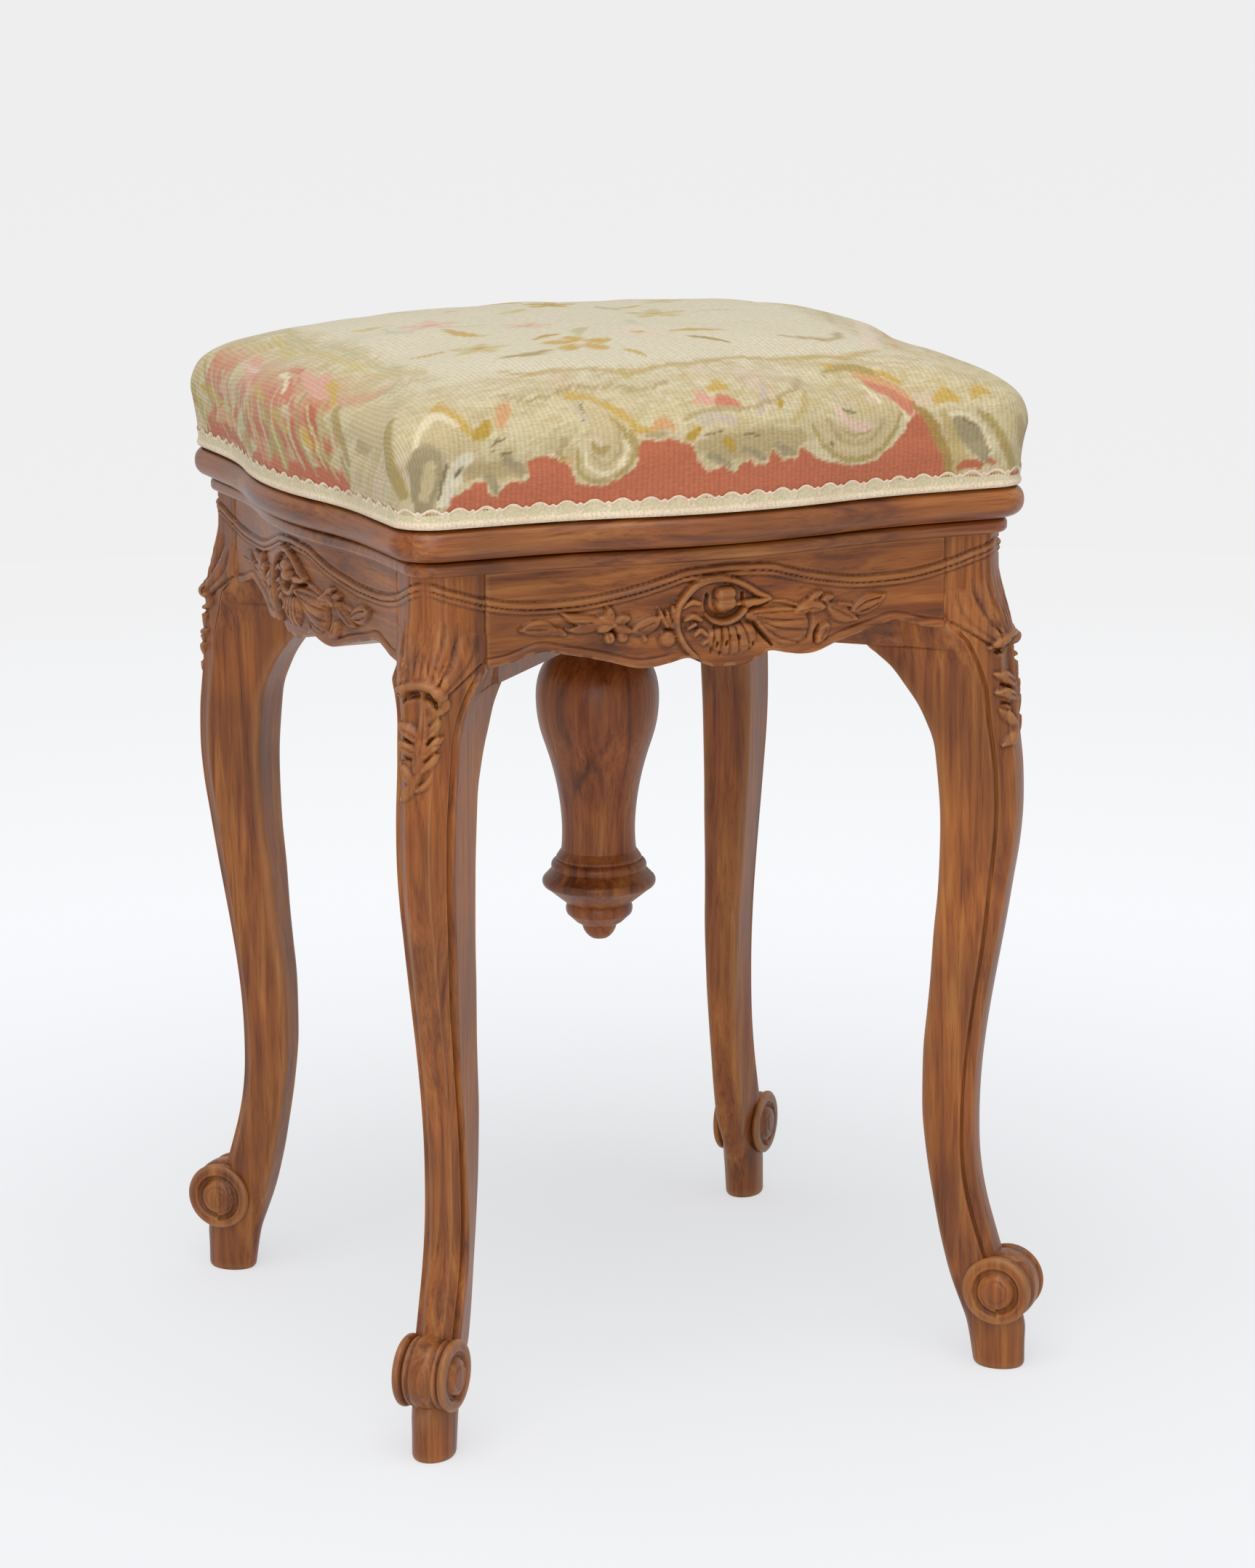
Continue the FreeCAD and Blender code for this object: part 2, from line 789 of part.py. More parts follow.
def cushion_layers(inset, base):
    """Level outlines of the cushion, from a flat base up: the side swells, then the crown flattens out."""
    side = cushion_shoulder
    rise = cushion_crown - side
    layers = [
        (base, 0.0, 1.0, cover_corner),
        (side * 0.45, cushion_swell * 0.8, 0.98, cover_corner + 1.0),
        (side * 0.72, cushion_swell, 0.95, cover_corner + 3.0),
        (side * 0.94, cushion_swell * 0.4, 0.90, cover_corner + 6.0),
    ]
    for inward in (0.035, 0.09, 0.16, 0.25, 0.36, 0.49, 0.63, 0.78, 0.90):
        height = side + rise * (1 - (1 - inward) ** cushion_fullness)
        half = cover_half * (1 - inward)
        corner = min(cover_corner + 8.0 + 60.0 * inward, half * 0.6)
        layers.append((height, -inward * cover_half, 0.85 * (1 - inward), corner))
    made = []
    for height, spread, bow_share, corner in layers:
        drop = inset * max(0.0, (height - side) / rise)
        half = cover_half + spread - inset
        made.append(bowed_outline(half, seat_bow * bow_share, corner - inset, seat_top + height - drop))
    return made


def make_cover(cuts):
    """Tapestry cover: an upright skirt nailed round the step, under a crowned dome that pulls in to it."""
    outer = cushion_layers(0, cover_joint)
    inner = cushion_layers(cloth_thickness, cover_joint)
    ring = Part.Face(outer[0]).cut(Part.Face(inner[0]))
    skirt = ring.extrude(Vector(0, 0, cover_bottom - seat_top - cover_joint)).cut(cuts)
    faces = [face for face in skirt.Faces if face.BoundBox.ZMin < seat_top + cover_joint - 0.01]
    for layers in (outer, inner):
        faces += Part.makeLoft(layers, False, False).Faces
        faces.append(Part.Face(layers[-1]))
    shell = Part.Shell(faces)
    shell.sewShape()
    cover = Part.Solid(shell)
    cover.fix(0.0001, 0.0001, 0.001)
    return cover


def make_pad():
    """Stuffing that fills the cover above the hessian."""
    return Part.makeLoft(cushion_layers(cloth_thickness + soft_clearance, pad_bottom - seat_top), True, False)


def make_gimp(cuts):
    """Braid glued round the foot of the cushion over the tacks."""
    inner = cover_half + soft_clearance
    outer = inner + gimp_thickness
    z0 = cover_bottom
    z1 = cover_bottom + gimp_height
    corner = cover_corner + soft_clearance
    band = bowed_board(outer, seat_bow, corner + gimp_thickness, z0, z1)
    hole = bowed_board(inner, seat_bow, corner, z0 - past, z1 + past)
    return solid_of(band.cut([hole] + cuts))


def cover_tack(x):
    """A tack through the foot of the cover into the front rail."""
    reach = reach_of_bow(cover_half - cover_corner)
    radius = bow_arcs(seat_bow, reach)[1]
    if abs(x) >= reach:
        y = -cover_half
        lean = 0.0
    elif abs(x) > reach / 2:
        away = math.asin((x - math.copysign(reach, x)) / radius)
        y = -(cover_half + radius) + radius * math.cos(away)
        lean = -away
    else:
        away = math.asin(x / radius)
        y = -(cover_half + seat_bow - radius) - radius * math.cos(away)
        lean = away
    outward = Vector(math.sin(lean), -math.cos(lean), 0)
    z = cover_bottom + gimp_height / 2
    surface = Vector(x, y, z)
    head = Part.makeCylinder(tack_head_radius, tack_head_thickness, surface, outward)
    shank = Part.makeCylinder(tack_shank_radius, tack_length, surface, outward * -1)
    return solid_of(head.fuse(shank))


def make_tacks():
    """The tacks of all four sides."""
    tacks = []
    for degrees in QUARTER_TURNS:
        for place in range(tacks_per_side):
            x = tack_span * (place / (tacks_per_side - 1) - 0.5)
            tacks.append(turned(cover_tack(x), degrees))
    return tacks


def build():
    """Make every piece and save it."""
    os.makedirs("parts", exist_ok=True)

    corners = ("front_left", "front_right", "back_right", "back_left")
    sides = ("front", "right", "back", "left")
    apron = make_apron()
    leg = make_leg(apron)
    for degrees, corner, side in zip(QUARTER_TURNS, corners, sides):
        save("leg_" + corner, turned(leg, degrees))
        save("apron_" + side, turned(apron, degrees))
    save("base_top", make_base_top())

    brace_screws = ring_of(countersunk, brace_screw_at, 45, brace_top, brace_screw_length)
    flange_top = brace_top + nut_flange_thickness
    nut_screws = ring_of(countersunk, nut_screw_at, 45, flange_top, nut_screw_length)
    collar_low = ear_height - pendant_collar_thickness
    pendant_screws = ring_of(upside_down, pendant_screw_at, 0, collar_low, pendant_screw_length)
    brace_lower, brace_upper = make_braces(brace_screws + nut_screws + pendant_screws)
    save("brace_lower", brace_lower)
    save("brace_upper", brace_upper)
    save("brace_screws", Part.makeCompound(brace_screws))
    save("screw_nut", make_nut().cut(nut_screws))
    save("nut_screws", Part.makeCompound(nut_screws))
    save("pendant_vase", make_vase().cut(pendant_screws))
    save("pendant_screws", Part.makeCompound(pendant_screws))
    save("pendant_finial", make_finial())

    save("stop_washer", make_stop())

    splines = [turned(seat_spline(), degrees) for degrees in QUARTER_TURNS]
    tacks = make_tacks()
    cross_mortises = [cross_tenon(cross_tenon_length), turned(cross_tenon(cross_tenon_length), 180)]
    for side, rail in zip(sides, make_seat_rails(splines + cross_mortises + tacks)):
        save("seat_rail_" + side, rail)
    save("mitre_splines", Part.makeCompound(splines))

    flange_screws = ring_of(upside_down, flange_screw_at, 45, seat_bottom, flange_screw_length)
    save("cross_rail", make_cross_rail(flange_screws))
    save("screw_flange", make_flange(flange_screws))
    save("flange_screws", Part.makeCompound(flange_screws))
    save("screw_spindle", make_screw())
    save("end_stud", make_end_stud())
    save("cotter_pin", cotter_pin())

    webs_lengthwise, webs_crosswise = make_webbing()
    save("webbing_lengthwise", webs_lengthwise)
    save("webbing_crosswise", webs_crosswise)
    half = hessian_half
    save("hessian", box(-half, half, -half, half, web_top, web_top + hessian_thickness))
    save("tapestry_cover", make_cover(tacks))
    save("stuffing_pad", make_pad())
    save("gimp_braid", make_gimp(tacks))
    save("cover_tacks", Part.makeCompound(tacks))


build()
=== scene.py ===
"""Piano stool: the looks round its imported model, as a Blender add-on that is run as a script."""

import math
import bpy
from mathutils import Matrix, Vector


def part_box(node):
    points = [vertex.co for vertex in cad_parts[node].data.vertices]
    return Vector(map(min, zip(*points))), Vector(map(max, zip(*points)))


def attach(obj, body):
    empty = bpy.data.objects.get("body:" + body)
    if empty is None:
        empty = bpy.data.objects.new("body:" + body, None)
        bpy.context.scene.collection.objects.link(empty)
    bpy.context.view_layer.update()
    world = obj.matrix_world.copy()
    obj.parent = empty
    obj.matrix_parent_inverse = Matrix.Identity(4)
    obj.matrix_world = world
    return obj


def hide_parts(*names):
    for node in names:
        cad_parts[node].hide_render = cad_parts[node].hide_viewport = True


bl_info = {
    "name": "Piano Stool",
    "version": (1, 0, 0),
    "blender": (4, 5, 0),
    "location": "3D View > Sidebar > Piano Stool",
    "description": "Dresses the packed model of a carved and upholstered piano stool",
    "category": "Object",
}

import bpy
import numpy as np
from bpy.props import FloatProperty, FloatVectorProperty, PointerProperty
from mathutils import Matrix, Vector
from mathutils.kdtree import KDTree

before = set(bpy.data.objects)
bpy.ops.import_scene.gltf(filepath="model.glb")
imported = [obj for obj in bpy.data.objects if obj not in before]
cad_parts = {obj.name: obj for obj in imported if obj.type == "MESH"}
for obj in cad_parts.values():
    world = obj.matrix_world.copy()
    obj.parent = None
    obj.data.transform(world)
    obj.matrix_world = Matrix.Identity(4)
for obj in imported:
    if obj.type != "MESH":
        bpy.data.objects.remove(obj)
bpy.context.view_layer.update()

# Shapes are written in millimetres and turned to metres in one place, set_points().
MM = 0.001

# Directions of the grain: along x, along y and upright
WIDE, DEEP, UPRIGHT = range(3)

# Quarter turns of the four like corners and sides, in degrees
CORNERS = {"front_left": 0, "front_right": 90, "back_right": 180, "back_left": 270}
SIDES = {"front": 0, "right": 90, "back": 180, "left": 270}


# Heights and distances of the frame, in millimetres


def node_top(name):
    """Highest point of a CAD node, in millimetres."""
    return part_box(name)[1].z / MM


APRON_TOP = node_top("apron_front")
EAR_HEIGHT = node_top("pendant_vase")
POST_FACE = 157.0
POST_INNER = 124.0
APRON_THICKNESS = 22.0
APRON_BOW = 10.5


# Small tools for shapes


def eased(share):
    """A share from 0 to 1 that sets off and arrives gently."""
    return share * share * (3 - 2 * share)


def hump(off, half, power=2):
    """A round rise, from 0 at a half width to 1 in the middle."""
    return np.clip(1 - np.abs(off / half) ** power, 0, 1)


def peak(off, half):
    """A straight rise, from 0 at a half width to 1 in the middle."""
    return np.clip(1 - np.abs(off) / half, 0, 1)


def linear(hex_colour):
    """Turn an sRGB hex colour into the linear RGBA that Blender works in."""
    shares = [int(hex_colour[i : i + 2], 16) / 255 for i in (1, 3, 5)]
    rgb = [s / 12.92 if s <= 0.04045 else ((s + 0.055) / 1.055) ** 2.4 for s in shares]
    return (*rgb, 1.0)


def start_grid(name, columns, rows):
    """Add a grid primitive; give it and the column and row share of each of its points."""
    bpy.ops.object.select_all(action="DESELECT")
    bpy.ops.mesh.primitive_grid_add(x_subdivisions=columns, y_subdivisions=rows, size=1)
    piece = bpy.context.object
    piece.name = name
    piece.data.name = name
    flat = get_points(piece)
    return piece, flat[:, 0] + 0.5, flat[:, 1] + 0.5


def get_points(piece):
    """Points of a mesh as an array."""
    points = np.zeros(len(piece.data.vertices) * 3, np.float32)
    piece.data.vertices.foreach_get("co", points)
    return points.reshape(-1, 3).astype(float)


def set_points(piece, x, y, z):
    """Move the points of a mesh to places given in millimetres."""
    points = np.stack([x, y, z], axis=1) * MM
    piece.data.vertices.foreach_set("co", points.astype(np.float32).ravel())
    piece.data.update()


def select_only(piece):
    """Make a piece the only one selected, and the active one."""
    bpy.ops.object.select_all(action="DESELECT")
    piece.select_set(True)
    bpy.context.view_layer.objects.active = piece


def close_up(piece, cap=True):
    """Weld the seams of a piece, cap its open ends and point its faces outwards."""
    select_only(piece)
    bpy.ops.object.mode_set(mode="EDIT")
    bpy.ops.mesh.select_mode(type="VERT")
    bpy.ops.mesh.select_all(action="SELECT")
    bpy.ops.mesh.remove_doubles(threshold=0.02 * MM)
    if cap:
        bpy.ops.mesh.select_all(action="DESELECT")
        bpy.ops.mesh.select_non_manifold()
        bpy.ops.mesh.fill_holes(sides=0)
    bpy.ops.mesh.select_all(action="SELECT")
    bpy.ops.mesh.normals_make_consistent(inside=False)
    bpy.ops.object.mode_set(mode="OBJECT")


def smooth(piece, degrees=60):
    """Shade a piece smooth, but keep edges sharper than an angle."""
    select_only(piece)
    bpy.ops.object.shade_smooth_by_angle(angle=math.radians(degrees))


def join(pieces):
    """Join pieces into the first of them."""
    bpy.ops.object.select_all(action="DESELECT")
    for piece in pieces:
        piece.select_set(True)
    bpy.context.view_layer.objects.active = pieces[0]
    bpy.ops.object.join()
    return pieces[0]


def quarter_turned(piece, name, degrees):
    """A copy of a piece with its own mesh, turned about the upright axis."""
    copy = piece.copy()
    copy.data = piece.data.copy()
    copy.name = name
    copy.data.name = name
    copy.data.transform(Matrix.Rotation(math.radians(degrees), 4, "Z"))
    bpy.context.scene.collection.objects.link(copy)
    return copy


def remove(piece):
    """Delete a pattern piece and its mesh."""
    mesh = piece.data
    bpy.data.objects.remove(piece)
    bpy.data.meshes.remove(mesh)


def set_round(pattern, turns, name, node, woods):
    """Turned copies of a pattern piece on the base, each in place of its CAD node."""
    for number, (place, degrees) in enumerate(turns.items()):
        copy = quarter_turned(pattern, name + place, degrees)
        copy.data.materials.clear()
        copy.data.materials.append(woods[number % len(woods)])
        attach(copy, "base")
        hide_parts(node + place)
    remove(pattern)


def curve_line(points, steps=6):
    """A smooth line through points of any number of values, passing through each."""
    points = np.array(points, float)
    if len(points) < 3:
        return points
    ends = np.vstack([2 * points[0] - points[1], points, 2 * points[-1] - points[-2]])
    line = []
    for before, here, after, next_one in zip(ends, ends[1:], ends[2:], ends[3:]):
        for share in np.arange(steps) / steps:
            a = 2 * here
            b = after - before
            c = 2 * before - 5 * here + 4 * after - next_one
            d = 3 * (here - after) + next_one - before
            line.append((a + share * (b + share * (c + share * d))) / 2)
    line.append(points[-1])
    return np.array(line)


def read_table(table, at):
    """Read a smooth curve through a table of (place, value) pairs."""
    line = curve_line(sorted(table), 8)
    return np.interp(at, line[:, 0], line[:, 1])


def nearness(across, up, points):
    """Distance of each place from a stroke, in half widths of the stroke there."""
    out_of_reach = 9.0
    ratio = np.full(len(across), out_of_reach)
    line = curve_line(points)
    for start, end in zip(line, line[1:]):
        reach = 1.5 * max(start[2], end[2])
        low = np.minimum(start[:2], end[:2]) - reach
        high = np.maximum(start[:2], end[:2]) + reach
        near = (across > low[0]) & (across < high[0]) & (up > low[1]) & (up < high[1])
        if not near.any():
            continue
        step = end[:2] - start[:2]
        length = max(step @ step, 1e-9)
        dx = across[near] - start[0]
        dz = up[near] - start[1]
        share = np.clip((dx * step[0] + dz * step[1]) / length, 0, 1)
        off = np.hypot(dx - share * step[0], dz - share * step[1])
        half = np.maximum(start[2] + share * (end[2] - start[2]), 0.05)
        ratio[near] = np.minimum(ratio[near], off / half)
    return ratio


def carve(across, up, strokes):
    """Height of carved strokes at each place: ridges by the highest, cuts by the deepest."""
    ridges = np.zeros(len(across))
    cuts = np.zeros(len(across))
    for height, points in strokes:
        inside = hump(nearness(across, up, points), 1)
        if height > 0:
            ridges = np.maximum(ridges, height * np.sqrt(inside))
        else:
            cuts = np.minimum(cuts, height * inside)
    return ridges + cuts


def noise(x, y, size, seed):
    """Smooth random values from -1 to 1 with a given feature size, the same in each run."""
    cells = 256
    shift = 1000
    values = np.random.default_rng(seed).uniform(-1, 1, (cells, cells))
    px = np.asarray(x, float) / size + shift
    py = np.asarray(y, float) / size + shift
    ix = np.floor(px).astype(int)
    iy = np.floor(py).astype(int)
    fx = eased(px - ix)
    fy = eased(py - iy)

    def corner(dx, dy):
        return values[(ix + dx) % cells, (iy + dy) % cells]

    low = corner(0, 0) * (1 - fx) + corner(1, 0) * fx
    high = corner(0, 1) * (1 - fx) + corner(1, 1) * fx
    return low * (1 - fy) + high * fy


def mark_hollows(piece, spread=2):
    """Store how hollow (+) or worn proud (-) each point is, for the polish to collect in."""
    mesh = piece.data
    points = get_points(piece)
    edges = np.zeros(len(mesh.edges) * 2, np.int32)
    mesh.edges.foreach_get("vertices", edges)
    a, b = edges.reshape(-1, 2).T
    count = np.bincount(a, minlength=len(points)) + np.bincount(b, minlength=len(points))
    count = np.maximum(count, 1)

    def around(values):
        total = np.bincount(a, values[b], len(points)) + np.bincount(b, values[a], len(points))
        return total / count

    normals = np.zeros(len(points) * 3, np.float32)
    mesh.vertices.foreach_get("normal", normals)
    normals = normals.reshape(-1, 3)
    mean = points
    for _ in range(spread):
        mean = np.stack([around(mean[:, i]) for i in range(3)], axis=1)
    hollow = np.sum((mean - points) * normals, axis=1) / MM
    for _ in range(2):
        hollow = 0.5 * hollow + 0.5 * around(hollow)
    store = mesh.attributes.new("hollow", "FLOAT", "POINT")
    store.data.foreach_set("value", hollow.astype(np.float32))


# Materials

# Metres from band to band of a wave texture of scale 1
WAVE_PITCH = 0.314


def per(size):
    """Scale of a pattern whose features have this size, in millimetres."""
    return 1 / (size * MM)


def fill(tree, node, inputs):
    """Fill or link the inputs of a shader node by name or number."""
    for key, value in inputs.items():
        socket = node.inputs[key]
        if isinstance(value, bpy.types.NodeSocket):
            tree.links.new(value, socket)
        else:
            socket.default_value = value


def add(tree, kind, inputs=None, **settings):
    """Add a shader node, set its options, and fill or link its inputs."""
    node = tree.nodes.new(kind)
    for name, value in settings.items():
        setattr(node, name, value)
    fill(tree, node, inputs or {})
    return node


def start_material(name):
    """A new node material with its surface shader ready; give the material, tree and shader."""
    material = bpy.data.materials.new(name)
    material.use_nodes = True
    tree = material.node_tree
    shader = tree.nodes["Principled BSDF"]
    return material, tree, shader


def set_ramp(node, stops):
    """Set the stops of a colour ramp from (place, hex colour) pairs."""
    elements = node.color_ramp.elements
    while len(elements) > len(stops):
        elements.remove(elements[-1])
    while len(elements) < len(stops):
        elements.new(1.0)
    for element, (place, colour) in zip(elements, stops):
        element.position = place
        element.color = linear(colour)


def drawn_out(grain, share):
    """Scale of a pattern that is stretched along the grain: it repeats less often there."""
    scale = [1.0, 1.0, 1.0]
    scale[grain] = share
    return scale


def dress(names, material):
    """Give CAD nodes a material."""
    for name in names:
        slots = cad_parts[name].data.materials
        slots.clear()
        slots.append(material)


def walnut(name, grain, offset, shade, polish=0.08):
    """Walnut, carved or turned, wiped with thin shellac and wax: red brown, streaked along its
    grain, with dark pores, a satin sheen, dark wax in its hollows and paler worn edges."""
    material, tree, shader = start_material(name)
    place = add(tree, "ShaderNodeTexCoord").outputs["Object"]
    board = add(tree, "ShaderNodeMapping", {"Vector": place, "Location": offset,
                "Scale": drawn_out(grain, 0.07)}).outputs[0]
    fibre = add(tree, "ShaderNodeMapping", {"Vector": place, "Location": offset,
                "Scale": drawn_out(grain, 0.035)}).outputs[0]
    # Growth bands 4 to 12 mm apart
    bands = add(tree, "ShaderNodeTexNoise", {"Vector": board, "Scale": per(9.524),
                "Detail": 3.0, "Roughness": 0.5, "Distortion": 1.2}).outputs[0]
    tone = add(tree, "ShaderNodeValToRGB", {0: bands})
    set_ramp(tone, [(0.25, "#683A1A"), (0.40, "#8B5026"), (0.56, "#A56530"), (0.80, "#BE8546")])
    # Broad patches, where the wax and the light of years have greyed or warmed the wood
    patch = add(tree, "ShaderNodeTexNoise", {"Vector": place, "Scale": per(58.8),
                "Detail": 3.0}).outputs[0]
    patch_tone = add(tree, "ShaderNodeValToRGB", {0: patch})
    set_ramp(patch_tone, [(0.3, "#BFB0A2"), (0.5, "#E6DCCF"), (0.7, "#FFECD2")])
    # Fine broken fibres, darker, in bundles 1 to 2 mm apart
    fibres = add(tree, "ShaderNodeTexNoise", {"Vector": fibre, "Scale": per(2.083), "Detail": 5.0,
                 "Roughness": 0.65, "Distortion": 0.5}).outputs[0]
    fibre_tone = add(tree, "ShaderNodeValToRGB", {0: fibres})
    set_ramp(fibre_tone, [(0.32, "#B39E8C"), (0.46, "#ECE3DA"), (0.6, "#FFFFFF")])
    # Pores are 0.2 mm wide; they are drawn 0.7 mm wide, the finest that shows
    pores = add(tree, "ShaderNodeTexNoise", {"Vector": fibre, "Scale": per(0.769),
                "Detail": 2.0}).outputs[0]
    pore_tone = add(tree, "ShaderNodeMapRange", {0: pores, 1: 0.28, 2: 0.42, 3: 0.7, 4: 1.0})
    colour = tone.outputs[0]
    # The tint layer is white for the carved wood; for the pendant and the side rails it is darker,
    # and there it is painted shade
    for share, layer in ((0.75, patch_tone.outputs[0]), (0.75, fibre_tone.outputs[0]),
                         (1.0, tuple(shade)), (1.0, pore_tone.outputs[0])):
        colour = add(tree, "ShaderNodeMixRGB", {0: share, 1: colour, 2: layer},
                     blend_type="MULTIPLY").outputs[0]
    # Dark wax in hollows, pale edges
    hollow = add(tree, "ShaderNodeAttribute", attribute_name="hollow").outputs["Fac"]
    wax = add(tree, "ShaderNodeMapRange", {0: hollow, 1: 0.02, 2: 0.30, 3: 0.0, 4: 0.72}).outputs[0]
    worn = add(tree, "ShaderNodeMapRange", {0: hollow, 1: -0.03, 2: -0.24, 3: 0.0,
               4: 0.35}).outputs[0]
    for share, stain in ((wax, "#35200F"), (worn, "#B98553")):
        colour = add(tree, "ShaderNodeMixRGB", {0: share, 1: colour, 2: linear(stain)}).outputs[0]
    rough = add(tree, "ShaderNodeMapRange", {0: bands, 1: 0.3, 2: 0.7, 3: 0.34, 4: 0.47}).outputs[0]
    depth = add(tree, "ShaderNodeMath", {0: pores, 1: bands}, operation="ADD").outputs[0]
    bump = add(tree, "ShaderNodeBump", {"Strength": 0.25, "Distance": 0.4 * MM,
               "Height": depth}).outputs[0]
    fill(tree, shader, {"Base Color": colour, "Roughness": rough, "Normal": bump, "IOR": 1.4,
                        "Coat Weight": polish, "Coat Roughness": 0.25})
    return material


def plain_wood(name, grain):
    """Beech, sawn and left bare, darkened by age: pale brown with short flecks, quite dull."""
    material, tree, shader = start_material(name)
    place = add(tree, "ShaderNodeTexCoord").outputs["Object"]
    board = add(tree, "ShaderNodeMapping", {"Vector": place,
                "Scale": drawn_out(grain, 0.08)}).outputs[0]
    # Flecks 2 to 5 mm wide
    bands = add(tree, "ShaderNodeTexNoise", {"Vector": board, "Scale": per(4.545),
                "Detail": 5.0}).outputs[0]
    tone = add(tree, "ShaderNodeValToRGB", {0: bands})
    set_ramp(tone, [(0.3, "#8A6540"), (0.55, "#A98459"), (0.75, "#BE9C70")])
    bump = add(tree, "ShaderNodeBump", {"Strength": 0.3, "Distance": 0.5 * MM,
               "Height": bands}).outputs[0]
    fill(tree, shader, {"Base Color": tone.outputs[0], "Roughness": 0.7, "Normal": bump})
    return material


def metal(name, dark, light, rough, grain_size):
    """Iron or steel, turned or forged, with an oily film: dark, mottled, softly shining."""
    material, tree, shader = start_material(name)
    place = add(tree, "ShaderNodeTexCoord").outputs["Object"]
    mottle = add(tree, "ShaderNodeTexNoise", {"Vector": place, "Scale": per(grain_size),
                 "Detail": 5.0}).outputs[0]
    tone = add(tree, "ShaderNodeValToRGB", {0: mottle})
    set_ramp(tone, [(0.35, dark), (0.65, light)])
    finish = add(tree, "ShaderNodeMapRange", {0: mottle, 1: 0.3, 2: 0.7, 3: rough - 0.08,
                 4: rough + 0.12}).outputs[0]
    bump = add(tree, "ShaderNodeBump", {"Strength": 0.2, "Distance": 0.3 * MM,
               "Height": mottle}).outputs[0]
    fill(tree, shader, {"Base Color": tone.outputs[0], "Roughness": finish, "Metallic": 1.0,
                        "Normal": bump})
    return material


def plain_weave(name, dark, light, thread):
    """Jute or hemp, plain woven and undyed: coarse round threads over and under, dry and dull."""
    material, tree, shader = start_material(name)
    place = add(tree, "ShaderNodeTexCoord").outputs["Object"]
    scale = WAVE_PITCH / (2 * thread * MM)
    waves = [add(tree, "ShaderNodeTexWave", {"Vector": place, "Scale": scale, "Distortion": 0.6,
                 "Detail": 1.0}, bands_direction=direction).outputs["Fac"]
             for direction in ("X", "Y")]
    weave = add(tree, "ShaderNodeMath", {0: waves[0], 1: waves[1]},
                operation="MULTIPLY").outputs[0]
    tone = add(tree, "ShaderNodeValToRGB", {0: weave})
    set_ramp(tone, [(0.1, dark), (0.8, light)])
    bump = add(tree, "ShaderNodeBump", {"Strength": 0.6, "Distance": thread * MM * 0.3,
               "Height": weave}).outputs[0]
    fill(tree, shader, {"Base Color": tone.outputs[0], "Roughness": 0.95, "Normal": bump})
    return material


def tapestry_weave():
    """Wool tapestry: dyed weft packed over ribs, so colours meet in small steps; soft, with a
    faint fuzz. The drawing is in the colour attribute, the ribs are in the UV map."""
    material, tree, shader = start_material("wool_tapestry")
    drawn = add(tree, "ShaderNodeAttribute", attribute_name="weft").outputs["Color"]
    cloth = add(tree, "ShaderNodeUVMap", uv_map="cloth").outputs[0]
    # Ribs are 1.3 mm apart; they are drawn 2.6 mm apart, the finest that shows
    ribs = add(tree, "ShaderNodeTexWave", {"Vector": cloth, "Scale": WAVE_PITCH / (2.6 * MM),
               "Distortion": 0.35, "Detail": 2.0, "Detail Scale": 2.0},
               bands_direction="X").outputs["Fac"]
    weft = add(tree, "ShaderNodeMapping", {"Vector": cloth, "Scale": (0.35, 1.0, 1.0)}).outputs[0]
    # Threads about 1 mm thick
    threads = add(tree, "ShaderNodeTexNoise", {"Vector": weft, "Scale": per(1.111),
                  "Detail": 3.0}).outputs[0]
    # Each thread took the dye a little differently, and the grooves are in shade
    dye = add(tree, "ShaderNodeMapRange", {0: threads, 1: 0.3, 2: 0.7, 3: 0.84, 4: 1.10}).outputs[0]
    groove = add(tree, "ShaderNodeMapRange", {0: ribs, 1: 0.0, 2: 0.5, 3: 0.90, 4: 1.0}).outputs[0]
    colour = drawn
    for layer in (dye, groove):
        colour = add(tree, "ShaderNodeMixRGB", {0: 1.0, 1: colour, 2: layer},
                     blend_type="MULTIPLY").outputs[0]
    height = add(tree, "ShaderNodeMath", {0: threads, 1: 0.5, 2: ribs},
                 operation="MULTIPLY_ADD").outputs[0]
    bump = add(tree, "ShaderNodeBump", {"Strength": 0.55, "Distance": 0.4 * MM,
               "Height": height}).outputs[0]
    fill(tree, shader, {"Base Color": colour, "Roughness": 0.92, "Normal": bump,
                        "Sheen Weight": 0.12, "Sheen Roughness": 0.5})
    return material


